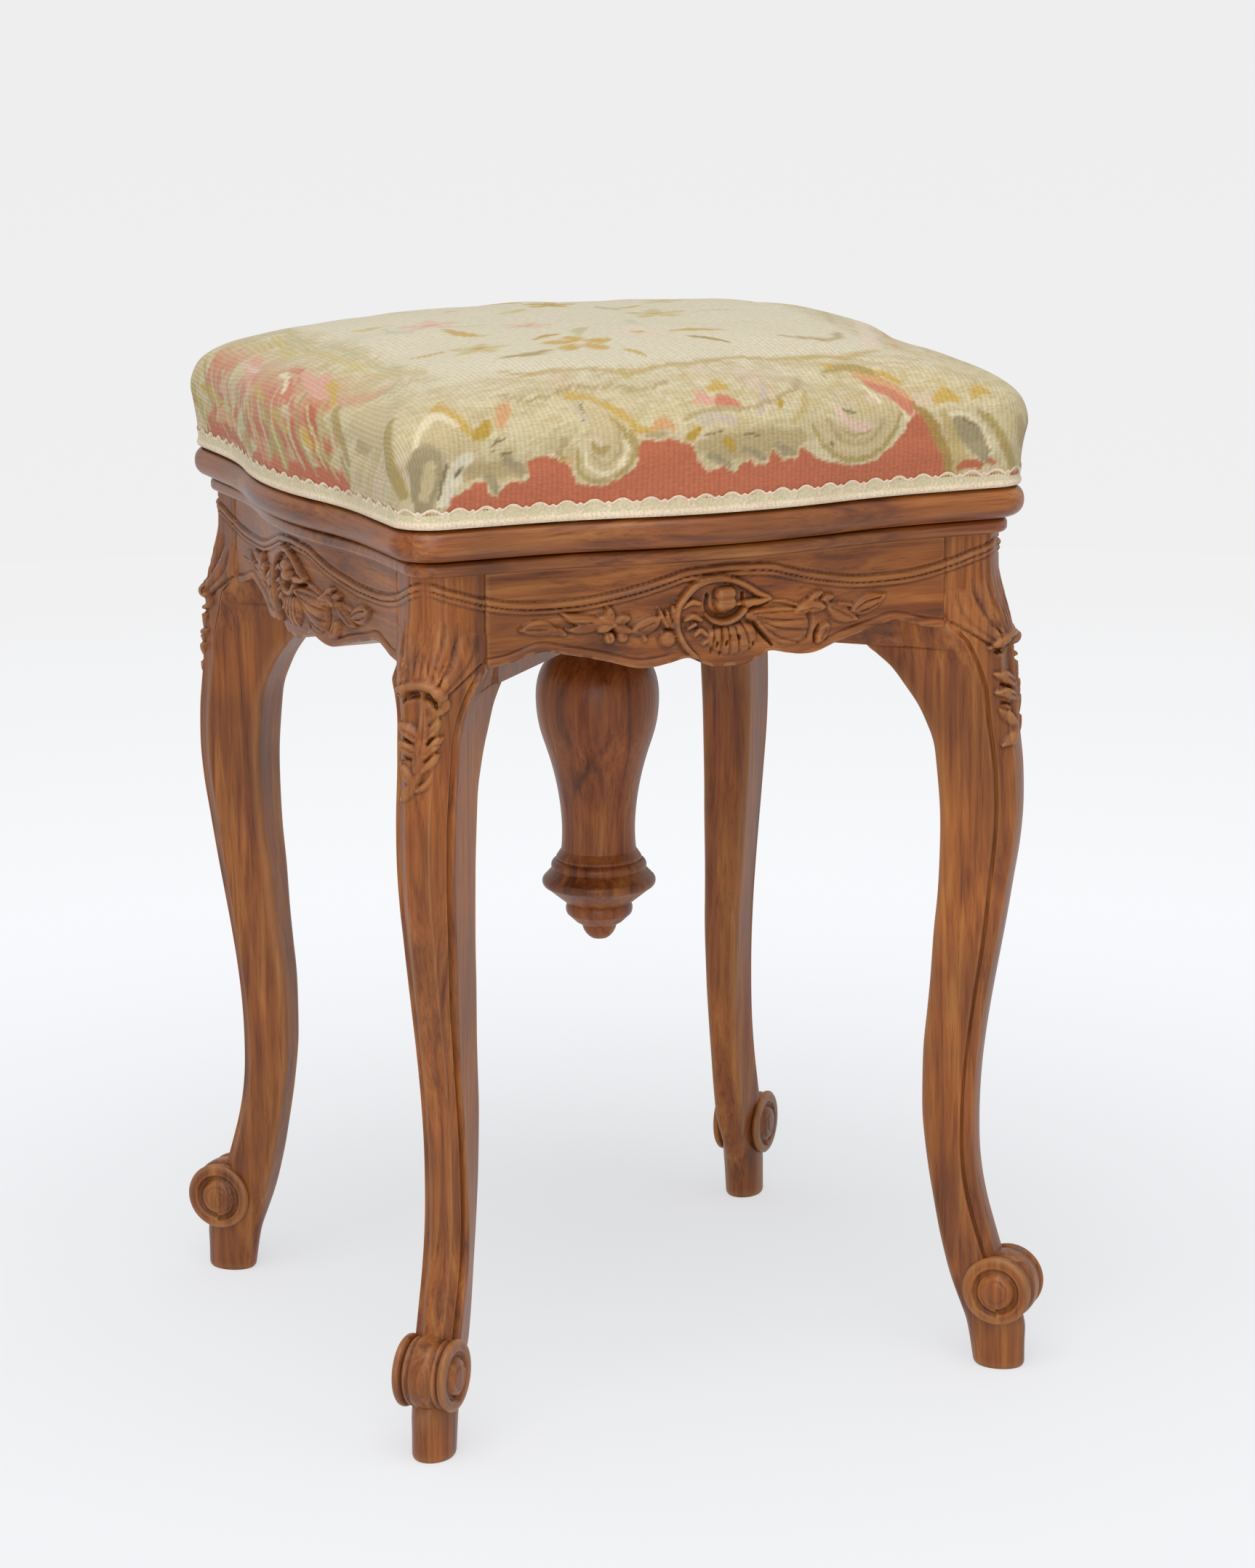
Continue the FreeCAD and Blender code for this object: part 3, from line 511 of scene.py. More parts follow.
def braid_cord(ground, thread):
    """Cotton gimp, woven and worked by hand: a cream cord in scallops over a paler, greener
    ground; matt and finely twisted."""
    material, tree, shader = start_material("cotton_gimp")
    place = add(tree, "ShaderNodeTexCoord").outputs["Object"]
    cord = add(tree, "ShaderNodeAttribute", attribute_name="cord").outputs["Fac"]
    # Twist of the yarn, about 1 mm, and soil in patches of some 25 mm
    fuzz = add(tree, "ShaderNodeTexNoise", {"Vector": place, "Scale": per(1.111),
               "Detail": 4.0}).outputs[0]
    twist = add(tree, "ShaderNodeMapRange", {0: fuzz, 1: 0.3, 2: 0.7, 3: 0.78, 4: 1.1}).outputs[0]
    soil = add(tree, "ShaderNodeTexNoise", {"Vector": place, "Scale": per(25),
               "Detail": 3.0}).outputs[0]
    grey = add(tree, "ShaderNodeMapRange", {0: soil, 1: 0.4, 2: 0.7, 3: 0.0, 4: 0.3}).outputs[0]
    colour = add(tree, "ShaderNodeMixRGB", {0: cord, 1: tuple(ground),
                 2: tuple(thread)}).outputs[0]
    colour = add(tree, "ShaderNodeMixRGB", {0: 1.0, 1: colour, 2: twist},
                 blend_type="MULTIPLY").outputs[0]
    colour = add(tree, "ShaderNodeMixRGB", {0: grey, 1: colour,
                 2: linear("#C4AE88")}).outputs[0]
    bump = add(tree, "ShaderNodeBump", {"Strength": 0.6, "Distance": 0.3 * MM,
               "Height": fuzz}).outputs[0]
    fill(tree, shader, {"Base Color": colour, "Roughness": 0.9, "Normal": bump, "Sheen Weight": 0.1})
    return material


def looking(tree):
    """One for a camera, mirror or glass ray, and zero for the rays that carry light."""
    path = add(tree, "ShaderNodeLightPath").outputs
    seen = path["Is Camera Ray"]
    for ray in ("Is Glossy Ray", "Is Transmission Ray"):
        seen = add(tree, "ShaderNodeMath", {0: seen, 1: path[ray]}, operation="ADD",
                   use_clamp=True).outputs[0]
    return seen


def studio_floor(centre_colour, near_glow, far_glow, reach):
    """Matt white paper, uncoated: takes a soft shadow near the stool and melts into the
    background further out."""
    material, tree, shader = start_material("studio_paper")
    place = add(tree, "ShaderNodeTexCoord").outputs["Object"]
    distance = add(tree, "ShaderNodeVectorMath", {0: place}, operation="LENGTH").outputs["Value"]
    melt = add(tree, "ShaderNodeMapRange", {0: distance, 1: 0.2 * reach, 2: reach, 3: 0.58, 4: 1.0},
               interpolation_type="SMOOTHSTEP").outputs[0]
    # Under the stool the lamps give 0.42 of what is seen, for the shadow. Only what looks at
    # the paper sees it glow; the stool gets no light from that
    melt = add(tree, "ShaderNodeMath", {0: melt, 1: looking(tree)}, operation="MULTIPLY").outputs[0]
    fill(tree, shader, {"Base Color": centre_colour, "Roughness": 1.0, "Specular IOR Level": 0.0})
    away = add(tree, "ShaderNodeMapRange", {0: distance, 1: 0.7 * reach, 2: 2.2 * reach,
               3: 0.0, 4: 1.0}).outputs[0]
    shown = add(tree, "ShaderNodeMixRGB", {0: away, 1: near_glow, 2: far_glow}).outputs[0]
    glow = add(tree, "ShaderNodeEmission", {"Color": shown, "Strength": 1.0}).outputs[0]
    mix = add(tree, "ShaderNodeMixShader", {0: melt, 1: shader.outputs[0], 2: glow}).outputs[0]
    fill(tree, tree.nodes["Material Output"], {"Surface": mix})
    return material


# Studio


def build_stage(look):
    """Floor, soft lights, background and the camera at the photographed angle."""
    scene = bpy.context.scene
    scene.view_settings.view_transform = "Standard"
    far = linear("#F1F1F2")
    bpy.ops.object.select_all(action="DESELECT")
    bpy.ops.mesh.primitive_circle_add(vertices=96, radius=2.5, fill_type="NGON")
    floor = bpy.context.object
    floor.name = "studio_floor"
    paper = studio_floor(tuple(look.paper), linear("#F9FBFE"), far, look.paper_reach)
    floor.data.materials.append(paper)

    world = bpy.data.worlds.new("studio")
    scene.world = world
    world.use_nodes = True
    tree = world.node_tree
    tree.nodes.clear()
    light = add(tree, "ShaderNodeBackground", {"Color": linear("#FFFFFF"),
                "Strength": look.ambient}).outputs[0]
    # A little greyer towards the top, as a lit backdrop is
    direction = add(tree, "ShaderNodeTexCoord").outputs["Generated"]
    rise = add(tree, "ShaderNodeSeparateXYZ", {0: direction}).outputs["Z"]
    height = add(tree, "ShaderNodeMapRange", {0: rise, 1: -0.25, 2: 0.02, 3: 0.0,
                 4: 1.0}).outputs[0]
    backdrop = add(tree, "ShaderNodeMixRGB", {0: height, 1: far,
                   2: linear("#EDEDED")}).outputs[0]
    view = add(tree, "ShaderNodeBackground", {"Color": backdrop, "Strength": 1.0}).outputs[0]
    mix = add(tree, "ShaderNodeMixShader", {0: looking(tree), 1: light, 2: view}).outputs[0]
    add(tree, "ShaderNodeOutputWorld", {"Surface": mix})

    # Places and sizes in metres
    soft_light("soft_overhead", (-0.5, -0.9, 2.4), 1.9, look.overhead)
    soft_light("soft_front", (-1.5, -2.8, 1.0), 1.6, look.front)
    set_camera()


def soft_light(name, place, size, power):
    """A large square lamp that faces the middle of the stool."""
    bpy.ops.object.light_add(type="AREA", location=place)
    lamp = bpy.context.object
    lamp.name = name
    lamp.data.size = size
    lamp.data.energy = power
    aim = Vector((0, 0, 0.3)) - Vector(place)
    lamp.rotation_euler = aim.to_track_quat("-Z", "Y").to_euler()


def set_camera():
    """Camera of the photograph: place, direction, small roll, lens and shift."""
    eye = Vector((-0.874818, -2.072421, 0.803311))
    target = Vector((0.0, 0.0, 0.297832))
    roll = -0.0088887
    forward = (target - eye).normalized()
    right = forward.cross(Vector((0, 0, 1))).normalized()
    up = right.cross(forward)
    side = math.cos(roll) * right + math.sin(roll) * up
    top = math.cos(roll) * up - math.sin(roll) * right
    data = bpy.data.cameras.new("photo_camera")
    camera = bpy.data.objects.new("photo_camera", data)
    bpy.context.scene.collection.objects.link(camera)
    turn = Matrix((side, top, -forward)).transposed()
    camera.matrix_world = Matrix.Translation(eye) @ turn.to_4x4()
    data.sensor_width = 36.0
    data.lens = 99.95
    data.shift_x = 0.01878
    data.shift_y = -0.00378
    bpy.context.scene.camera = camera


# Legs, drawn in the upright diagonal plane of the leg: reach is the distance out from the
# stool's axis, side the distance from that plane. Tables give (height, value) pairs.

NOSE_REACH = ((0, 238), (12, 238), (24, 238), (36, 234), (48, 229), (60, 225), (75, 220.3),
              (90, 216), (105, 213), (120, 211.5), (140, 211.3), (160, 212.3), (180, 214.5),
              (200, 217.5), (220, 221), (240, 224.5), (262, 228), (281, 231), (300, 232.6),
              (320, 232.3), (333, 231), (348, 229), (361, 227.8), (376, 225.6), (389, 225.4),
              (397, 223.4), (409, 220), (421, 217.8), (442, 217.6))
BACK_REACH = ((0, 211), (15, 208.5), (24, 206.5), (33, 203.5), (44.5, 200), (58, 196.5), (72, 193),
              (90, 189.5), (107, 186.5), (127, 184), (142, 183.3), (170, 184), (190, 186),
              (208, 187.8), (234, 189.8), (255, 192), (278, 193.2), (300, 193.2), (325, 191),
              (335, 189.3), (344, 185.7), (353, 181), (362, 174.2), (371, 166.6), (377, 159),
              (383, 152), (395, 151.4))
HALF_WIDTH = ((0, 10.5), (30, 10.9), (60, 11.8), (98, 12), (134, 11.3), (169, 11), (207, 11.7),
              (285, 15), (348, 16), (369, 16.8), (381, 19.5), (389, 22.5), (395, 23.6),
              (402, 23.4), (442, 23.3))
BACK_HALF_WIDTH = ((0, 9), (50, 8.8), (98, 8.5), (134, 9), (169, 10.3), (207, 11.5), (285, 14.4),
                   (348, 14.8), (383, 12.6))
NOSE_HALF = ((0, 5.5), (100, 5.6), (200, 5.9), (300, 6.3), (340, 7), (360, 8.3), (377, 9.4),
             (400, 8), (442, 7))
FOOT_OVAL_TOP = 22.0
FOOT_BLEND_TOP = 58.0
SCROLL_CENTRE = (226.2, 43.8)
SCROLL_RADIUS = 18.4
SCROLL_HALF_WIDTH = 14.6
EYE_CENTRE = (226.4, 43.2)
EYE_RADIUS = 8.8
POST_BACK = 175.4
# The block on each ear reaches up to the apron's lower edge
BLOCK_TOP = EAR_HEIGHT + 19.0
# Columns across the back of a leg, from its edge to the middle
BACK_COLUMNS = 20
# Heights where parts of a leg begin or end
KNEE_START = 320
POST_START = 389
EDGE_BEAD_END = 390
SEAM_START = 398
UPPER_BEAD_START = 400
GLUE_LINE_START = 404
FLUTE_END = 427
# Distance of the glue line from the middle of the side
GLUE_LINE = 141

# Upper carved bead of the aprons and posts: (distance from the middle of the side, height)
UPPER_BEAD = ((0, 436), (21, 434.8), (32, 432), (45, 428.5), (59, 425.5), (75, 423.2), (95, 422.8),
              (110, 424), (125, 427), (140, 432.2), (149, 435), (155, 436), (161, 436.2))

# Carving on the knee: height of each stroke, then its (side, height, half width) points.
# The fan is alike on both sides; the lip and the leaf that hangs from it are not.
KNEE_FAN = (
    (1.7, ((0, 393, 8.0), (3, 405, 8.0), (5, 415, 7.6))),
    (1.9, ((8, 386, 3.2), (12.5, 393, 4.6), (17.5, 402, 5.6), (19.5, 410, 5.0))),
    (-0.9, ((0.3, 394, 0.5), (0.2, 408, 0.9), (0, 422, 1.2))),
    (-0.9, ((3.2, 393.6, 0.5), (4.2, 408, 0.9), (5, 421.5, 1.2))),
    (-0.9, ((6.0, 392.4, 0.5), (8.2, 406, 0.9), (9.8, 419.5, 1.2))),
    (-1.5, ((8.6, 390, 0.6), (12, 399, 0.9), (13.8, 409, 1.0), (14.2, 419, 1.2))),
    (-0.8, ((10.2, 386.4, 0.5), (14.6, 393, 0.8), (18.4, 402, 0.9), (20.0, 412, 1.0))),
    (-0.8, ((11.4, 384, 0.5), (16.6, 390.6, 0.8), (21.6, 398, 0.9))),
)
KNEE_LEAF = (
    (2.3, ((-12.5, 384.5, 1.2), (-9, 388.6, 1.8), (-4.5, 390.4, 2.1), (1.3, 391, 2.2),
           (7.0, 389.2, 2.0), (10.1, 385.3, 1.8), (11.2, 380.6, 1.6), (9.4, 377.6, 1.0))),
    (-3.0, ((-10.5, 382, 1.0), (-6, 385.2, 2.0), (0, 386.4, 2.2), (6, 384.4, 2.0),
            (8, 380.4, 1.2))),
    (2.2, ((1.0, 387, 1.4), (1.8, 378, 2.0), (2.0, 368, 3.4), (0.6, 358, 3.6), (-1, 350, 2.4))),
    (2.4, ((-11, 371, 1.2), (-7, 369, 3.4), (-2, 366, 3.4))),
    (2.4, ((-11, 361.4, 1.0), (-7.5, 361, 3.0), (-2, 358.4, 2.8))),
    (2.2, ((9.2, 374, 0.9), (7, 370, 2.4), (3, 365, 2.6))),
    (2.2, ((10, 366, 0.8), (7.4, 362.4, 2.3), (3, 357.6, 2.4))),
    (2.0, ((9.0, 358, 0.7), (6.4, 354, 2.0), (2, 350, 1.8))),
    (2.2, ((-10, 352.6, 0.8), (-7, 348.4, 2.6), (-3, 344.6, 2.6))),
    (2.0, ((-10, 333.8, 0.7), (-6.8, 336.8, 2.3), (-3, 341.6, 2.8), (0, 348, 2.2))),
    (1.8, ((6.4, 347, 0.7), (4.0, 343, 1.7), (0, 340.4, 1.4))),
    (-0.9, ((1.8, 384, 0.5), (2.4, 372, 0.7), (1.0, 358, 0.6))),
    (-0.9, ((-9, 369.6, 0.5), (-2, 366, 0.6))),
    (-0.9, ((-9, 361, 0.5), (-2, 358.4, 0.6))),
    (-0.9, ((8, 371, 0.5), (3.6, 365.4, 0.6))),
    (-0.9, ((8.6, 363, 0.5), (3.8, 358, 0.6))),
    (-1.8, ((-9.6, 365.4, 0.9), (-4.5, 363, 0.8))),
    (-1.8, ((-9.4, 356, 0.9), (-4.5, 354.4, 0.8))),
    (-1.6, ((6.8, 366, 0.7), (4.6, 362.6, 0.6))),
)


def steps(count):
    """Even shares of a stretch, from 0 to just short of 1."""
    return np.arange(count)[None, :] / count


def from_diagonal(across, out):
    """Plan places on the front left corner's diagonal, from the side and the reach there."""
    share = math.sqrt(0.5)
    return -(out - across) * share, -(out + across) * share


def half_section(height):
    """Half outline of the leg at each height, from the nose round to the back: side and reach."""
    nose = read_table(NOSE_REACH, height)[:, None]
    back = read_table(BACK_REACH, height)[:, None]
    wide = read_table(HALF_WIDTH, height)[:, None]
    back_wide = read_table(BACK_HALF_WIDTH, height)[:, None]
    flat = read_table(NOSE_HALF, height)[:, None]
    z = height[:, None]
    above = np.clip((z - EAR_HEIGHT) / 17.0, 0, 1)
    step = 0.9 + 2.2 * above
    edge_reach = nose - wide + 3.1
    post_edge = POST_FACE * math.sqrt(2) - wide
    edge_reach = edge_reach + np.clip((z - POST_START) / 10, 0, 1) * (post_edge - edge_reach)
    field_start = (flat + step, nose - 2.5)
    side = []
    reach = []

    def run(count, across, out):
        side.append(across + np.zeros((len(height), count)))
        reach.append(out + np.zeros((len(height), count)))

    s = steps(9)
    run(9, flat * s, nose - 0.5 * s * s)
    s = steps(4)
    run(4, flat + step * s, nose - 0.5 - 2.0 * np.sin(s * math.pi / 2))
    # Field, then the channel and the bead that runs down the edge
    dx = wide - field_start[0]
    dy = edge_reach - field_start[1]
    length = np.hypot(dx, dy)
    bead_share = np.clip(5.4 / length, 0, 0.6)
    s = steps(14)
    hollow = -0.35 * np.sin(math.pi * s)
    along = s * (1 - bead_share)
    run(14, field_start[0] + dx * along, field_start[1] + dy * along + hollow)
    along = 1 - bead_share * (1 - s)
    channel = -1.3 * np.sin(math.pi * np.clip(s / 0.4, 0, 1))
    bead = 1.3 * np.sin(math.pi * np.clip((s - 0.4) / 0.6, 0, 1))
    lift = (channel + bead) * (1 - np.clip((z - EDGE_BEAD_END) / 6, 0, 1))
    run(14, field_start[0] + dx * along - dy / length * lift,
        field_start[1] + dy * along + dx / length * lift)
    s = steps(10)
    rim = (wide, edge_reach - 1.0)
    corner = (back_wide, back + 3.0)
    run(10, rim[0] + (corner[0] - rim[0]) * s, rim[1] + (corner[1] - rim[1]) * s)
    s = steps(4)
    run(4, back_wide - 3.0 * (1 - np.cos(s * math.pi / 2)),
        back + 3.0 * (1 - np.sin(s * math.pi / 2)))
    s = np.arange(6)[None, :] / 5
    run(6, (back_wide - 3.0) * (1 - s), back)
    side = np.concatenate(side, axis=1)
    reach = np.concatenate(reach, axis=1)

    # Round off to the oval foot
    angle = np.linspace(0, math.pi, side.shape[1])[None, :]
    middle = (nose + back) / 2
    round_in = 1 - 0.09 * np.clip(1 - z / 2.2, 0, 1) ** 2
    oval_side = wide * np.sin(angle) * round_in
    oval_reach = middle + (nose - back) / 2 * np.cos(angle) * round_in
    blend = eased(np.clip((z - FOOT_OVAL_TOP) / (FOOT_BLEND_TOP - FOOT_OVAL_TOP), 0, 1))
    side = oval_side + (side - oval_side) * blend
    reach = oval_reach + (reach - oval_reach) * blend
    return side, reach


def leg_heights():
    """Heights of the rings of a leg, close together where it is carved, and how many of them
    come before the top of the block."""
    foot = np.concatenate([[0.0, 0.5, 1.1, 2.2], np.arange(4, 60, 2.5)])
    shaft = np.arange(60, 326, 3.0)
    knee = np.arange(326, BLOCK_TOP, 0.8)
    post = np.arange(BLOCK_TOP, APRON_TOP, 0.8)
    rings = np.concatenate([foot, shaft, knee, [BLOCK_TOP], post, [APRON_TOP]])
    return rings, len(foot) + len(shaft) + len(knee)


def make_leg_pattern():
    """One leg, front left: shaft, knee, post and scroll foot."""
    height, ledge = leg_heights()
    side, reach = half_section(height)
    # Above the ear and its block the back of the leg is the square corner post
    hidden = side.shape[1] - BACK_COLUMNS
    for row in range(ledge + 1, len(height)):
        start = (side[row, hidden], reach[row, hidden])
        share = np.linspace(0, 1, BACK_COLUMNS)
        side[row, hidden:] = start[0] * (1 - share)
        reach[row, hidden:] = start[1] + (POST_BACK - start[1]) * share
    full_side = np.concatenate([side, -side[:, -2::-1]], axis=1)
    full_reach = np.concatenate([reach, reach[:, -2::-1]], axis=1)
    columns = full_side.shape[1] - 1
    piece, u, v = start_grid("leg_pattern", columns, len(height) - 1)
    column = np.rint(u * columns).astype(int)
    row = np.rint(v * (len(height) - 1)).astype(int)
    z = height[row]
    across = full_side[row, column]
    out = full_reach[row, column]

    # Carve along the normal of the ring
    after = (column + 1) % columns
    before = (column - 1) % columns
    run_side = full_side[row, after] - full_side[row, before]
    run_reach = full_reach[row, after] - full_reach[row, before]
    length = np.maximum(np.hypot(run_side, run_reach), 1e-6)
    outward = (-run_reach / length, run_side / length)
    facing = np.sign(outward[0] * across + outward[1] * (out - 200))
    facing[facing == 0] = 1
    outward = (outward[0] * facing, outward[1] * facing)
    # The carving dies out round the edges of the two front faces, and the flutes towards their tops
    inner_limit = np.minimum(read_table(NOSE_REACH, z) - np.abs(across) * 1.25 - 1.5, 216)
    front = eased(np.clip((out - inner_limit) / 8.0, 0, 1))
    flutes = carve(np.abs(across), z, KNEE_FAN) * np.clip((FLUTE_END - z) / 24, 0.15, 1)
    depth = (flutes + carve(across, z, KNEE_LEAF)) * (z > KNEE_START)
    along_face = POST_FACE - math.sqrt(2) * np.abs(across)
    bead = ridge_profile(z - read_table(UPPER_BEAD, along_face))
    seam = -0.8 * peak(along_face - POST_INNER, 1.2) * (z > SEAM_START)
    glue_line = -0.25 * peak(along_face - GLUE_LINE, 0.8) * (z > GLUE_LINE_START)
    depth = (depth + bead * (z > UPPER_BEAD_START) + seam + glue_line) * front
    depth = depth - 0.7 * peak(z - EAR_HEIGHT, 1.0) * (out < 205) * (out < inner_limit)
    across = across + outward[0] * depth
    out = out + outward[1] * depth
    set_points(piece, *from_diagonal(across, out), z)
    close_up(piece)
    leg = join([piece, make_scroll()])
    smooth(leg, 50)
    mark_hollows(leg)
    return leg


def ridge_profile(off):
    """Section of the upper bead: a round ridge with a fine one below and a cut each side."""
    ridge = 1.1 * np.sqrt(hump(off - 1.1, 1.6))
    fine = 0.65 * np.sqrt(hump(off + 1.8, 1.1))
    cut_above = -0.7 * hump(off - 3.4, 0.9)
    cut_below = -0.55 * hump(off + 3.5, 0.8)
    cut_between = -0.4 * hump(off + 0.6, 0.6)
    return ridge + fine + cut_above + cut_below + cut_between


def make_scroll():
    """The scroll at the foot: banded rim and a raised eye with a spiral cut on each cheek."""
    around = 132
    cheek = 26
    rim = 40
    across_count = 2 * cheek + rim
    piece, u, v = start_grid("scroll_pattern", around, across_count)
    angle = u * 2 * math.pi
    place = v * across_count
    on_left = place < cheek
    on_right = place > cheek + rim
    on_rim = ~(on_left | on_right)
    rim_share = np.clip((place - cheek) / rim, 0, 1)
    side = (rim_share * 2 - 1) * SCROLL_HALF_WIDTH
    # Rounded arris, outer band, cut, broad middle band and the cut beside it
    profile = -1.6 * peak(SCROLL_HALF_WIDTH - np.abs(side), 1.4) ** 2
    profile += 0.9 * hump(np.abs(side) - 12.2, 2.0)
    profile -= 1.2 * hump(np.abs(side) - 9.4, 0.9)
    profile += 1.3 * hump(side, 5.4, 4)
    profile -= 0.7 * hump(np.abs(side) - 6.2, 0.8)
    radius = np.full(len(u), SCROLL_RADIUS) - 1.0 + profile
    from_right = np.where(on_right, (across_count - place) / cheek, 1.0)
    cheek_share = np.where(on_left, place / cheek, from_right)
    edge_radius = SCROLL_RADIUS - 2.6
    cheek_radius = edge_radius * np.clip(cheek_share, 0, 1)
    radius = np.where(on_rim, radius, cheek_radius)
    out = SCROLL_CENTRE[0] + radius * np.cos(angle)
    z = SCROLL_CENTRE[1] + radius * np.sin(angle)
    # Cheeks: a cut winds in to the round eye, which stands proud
    off = np.hypot(out - EYE_CENTRE[0], z - EYE_CENTRE[1])
    turn = np.arctan2(z - EYE_CENTRE[1], out - EYE_CENTRE[0])
    winding = EYE_RADIUS + 1.6 + 1.5 * ((turn / (2 * math.pi) + 0.25) % 1.0)
    depth = -2.0 * hump(off - winding, 1.9)
    depth += 2.2 * hump(off, EYE_RADIUS, 3) ** 0.5
    inner = 4.6 + 2.0 * ((turn / (2 * math.pi) + 0.6) % 1.0)
    depth -= 0.45 * hump(off - inner, 1.0) * (off < EYE_RADIUS - 1)
    cheek_side = SCROLL_HALF_WIDTH - 0.6 + depth
    side = np.where(on_left, -cheek_side, np.where(on_right, cheek_side, side))
    set_points(piece, *from_diagonal(side, out), z)
    close_up(piece)
    return piece


def build_legs(look):
    """Four like legs on the base, with walnut grain upright."""
    wood = walnut("waxed_walnut_carved", UPRIGHT, (0, 0, 0), look.carved_wood)
    set_round(make_leg_pattern(), CORNERS, "carved_leg_", "leg_", [wood])


# Sides that bow outwards


BOW_REACH = 110.0


def bow_out(along, bow):
    """How far a bowed side stands out at a distance from its middle."""
    share = np.clip(np.abs(along) / BOW_REACH, 0, 1)
    return bow * np.where(share < 0.5, 1 - 2 * share**2, 2 * (1 - share) ** 2)


# Aprons: distance from the middle of the side and height, on the front face

LOWER_EDGE = ((-124, 395.5), (-113, 397), (-96, 401.5), (-82, 399), (-64, 395), (-50, 391),
              (-41, 390.5), (-32, 392), (-22, 394), (-15, 391), (-8, 388.6), (0, 388.5),
              (8, 388.6), (15, 391), (22, 394), (32, 392), (41, 390.5), (50, 391), (64, 395),
              (82, 399), (96, 401.5), (113, 397), (124, 395.5))

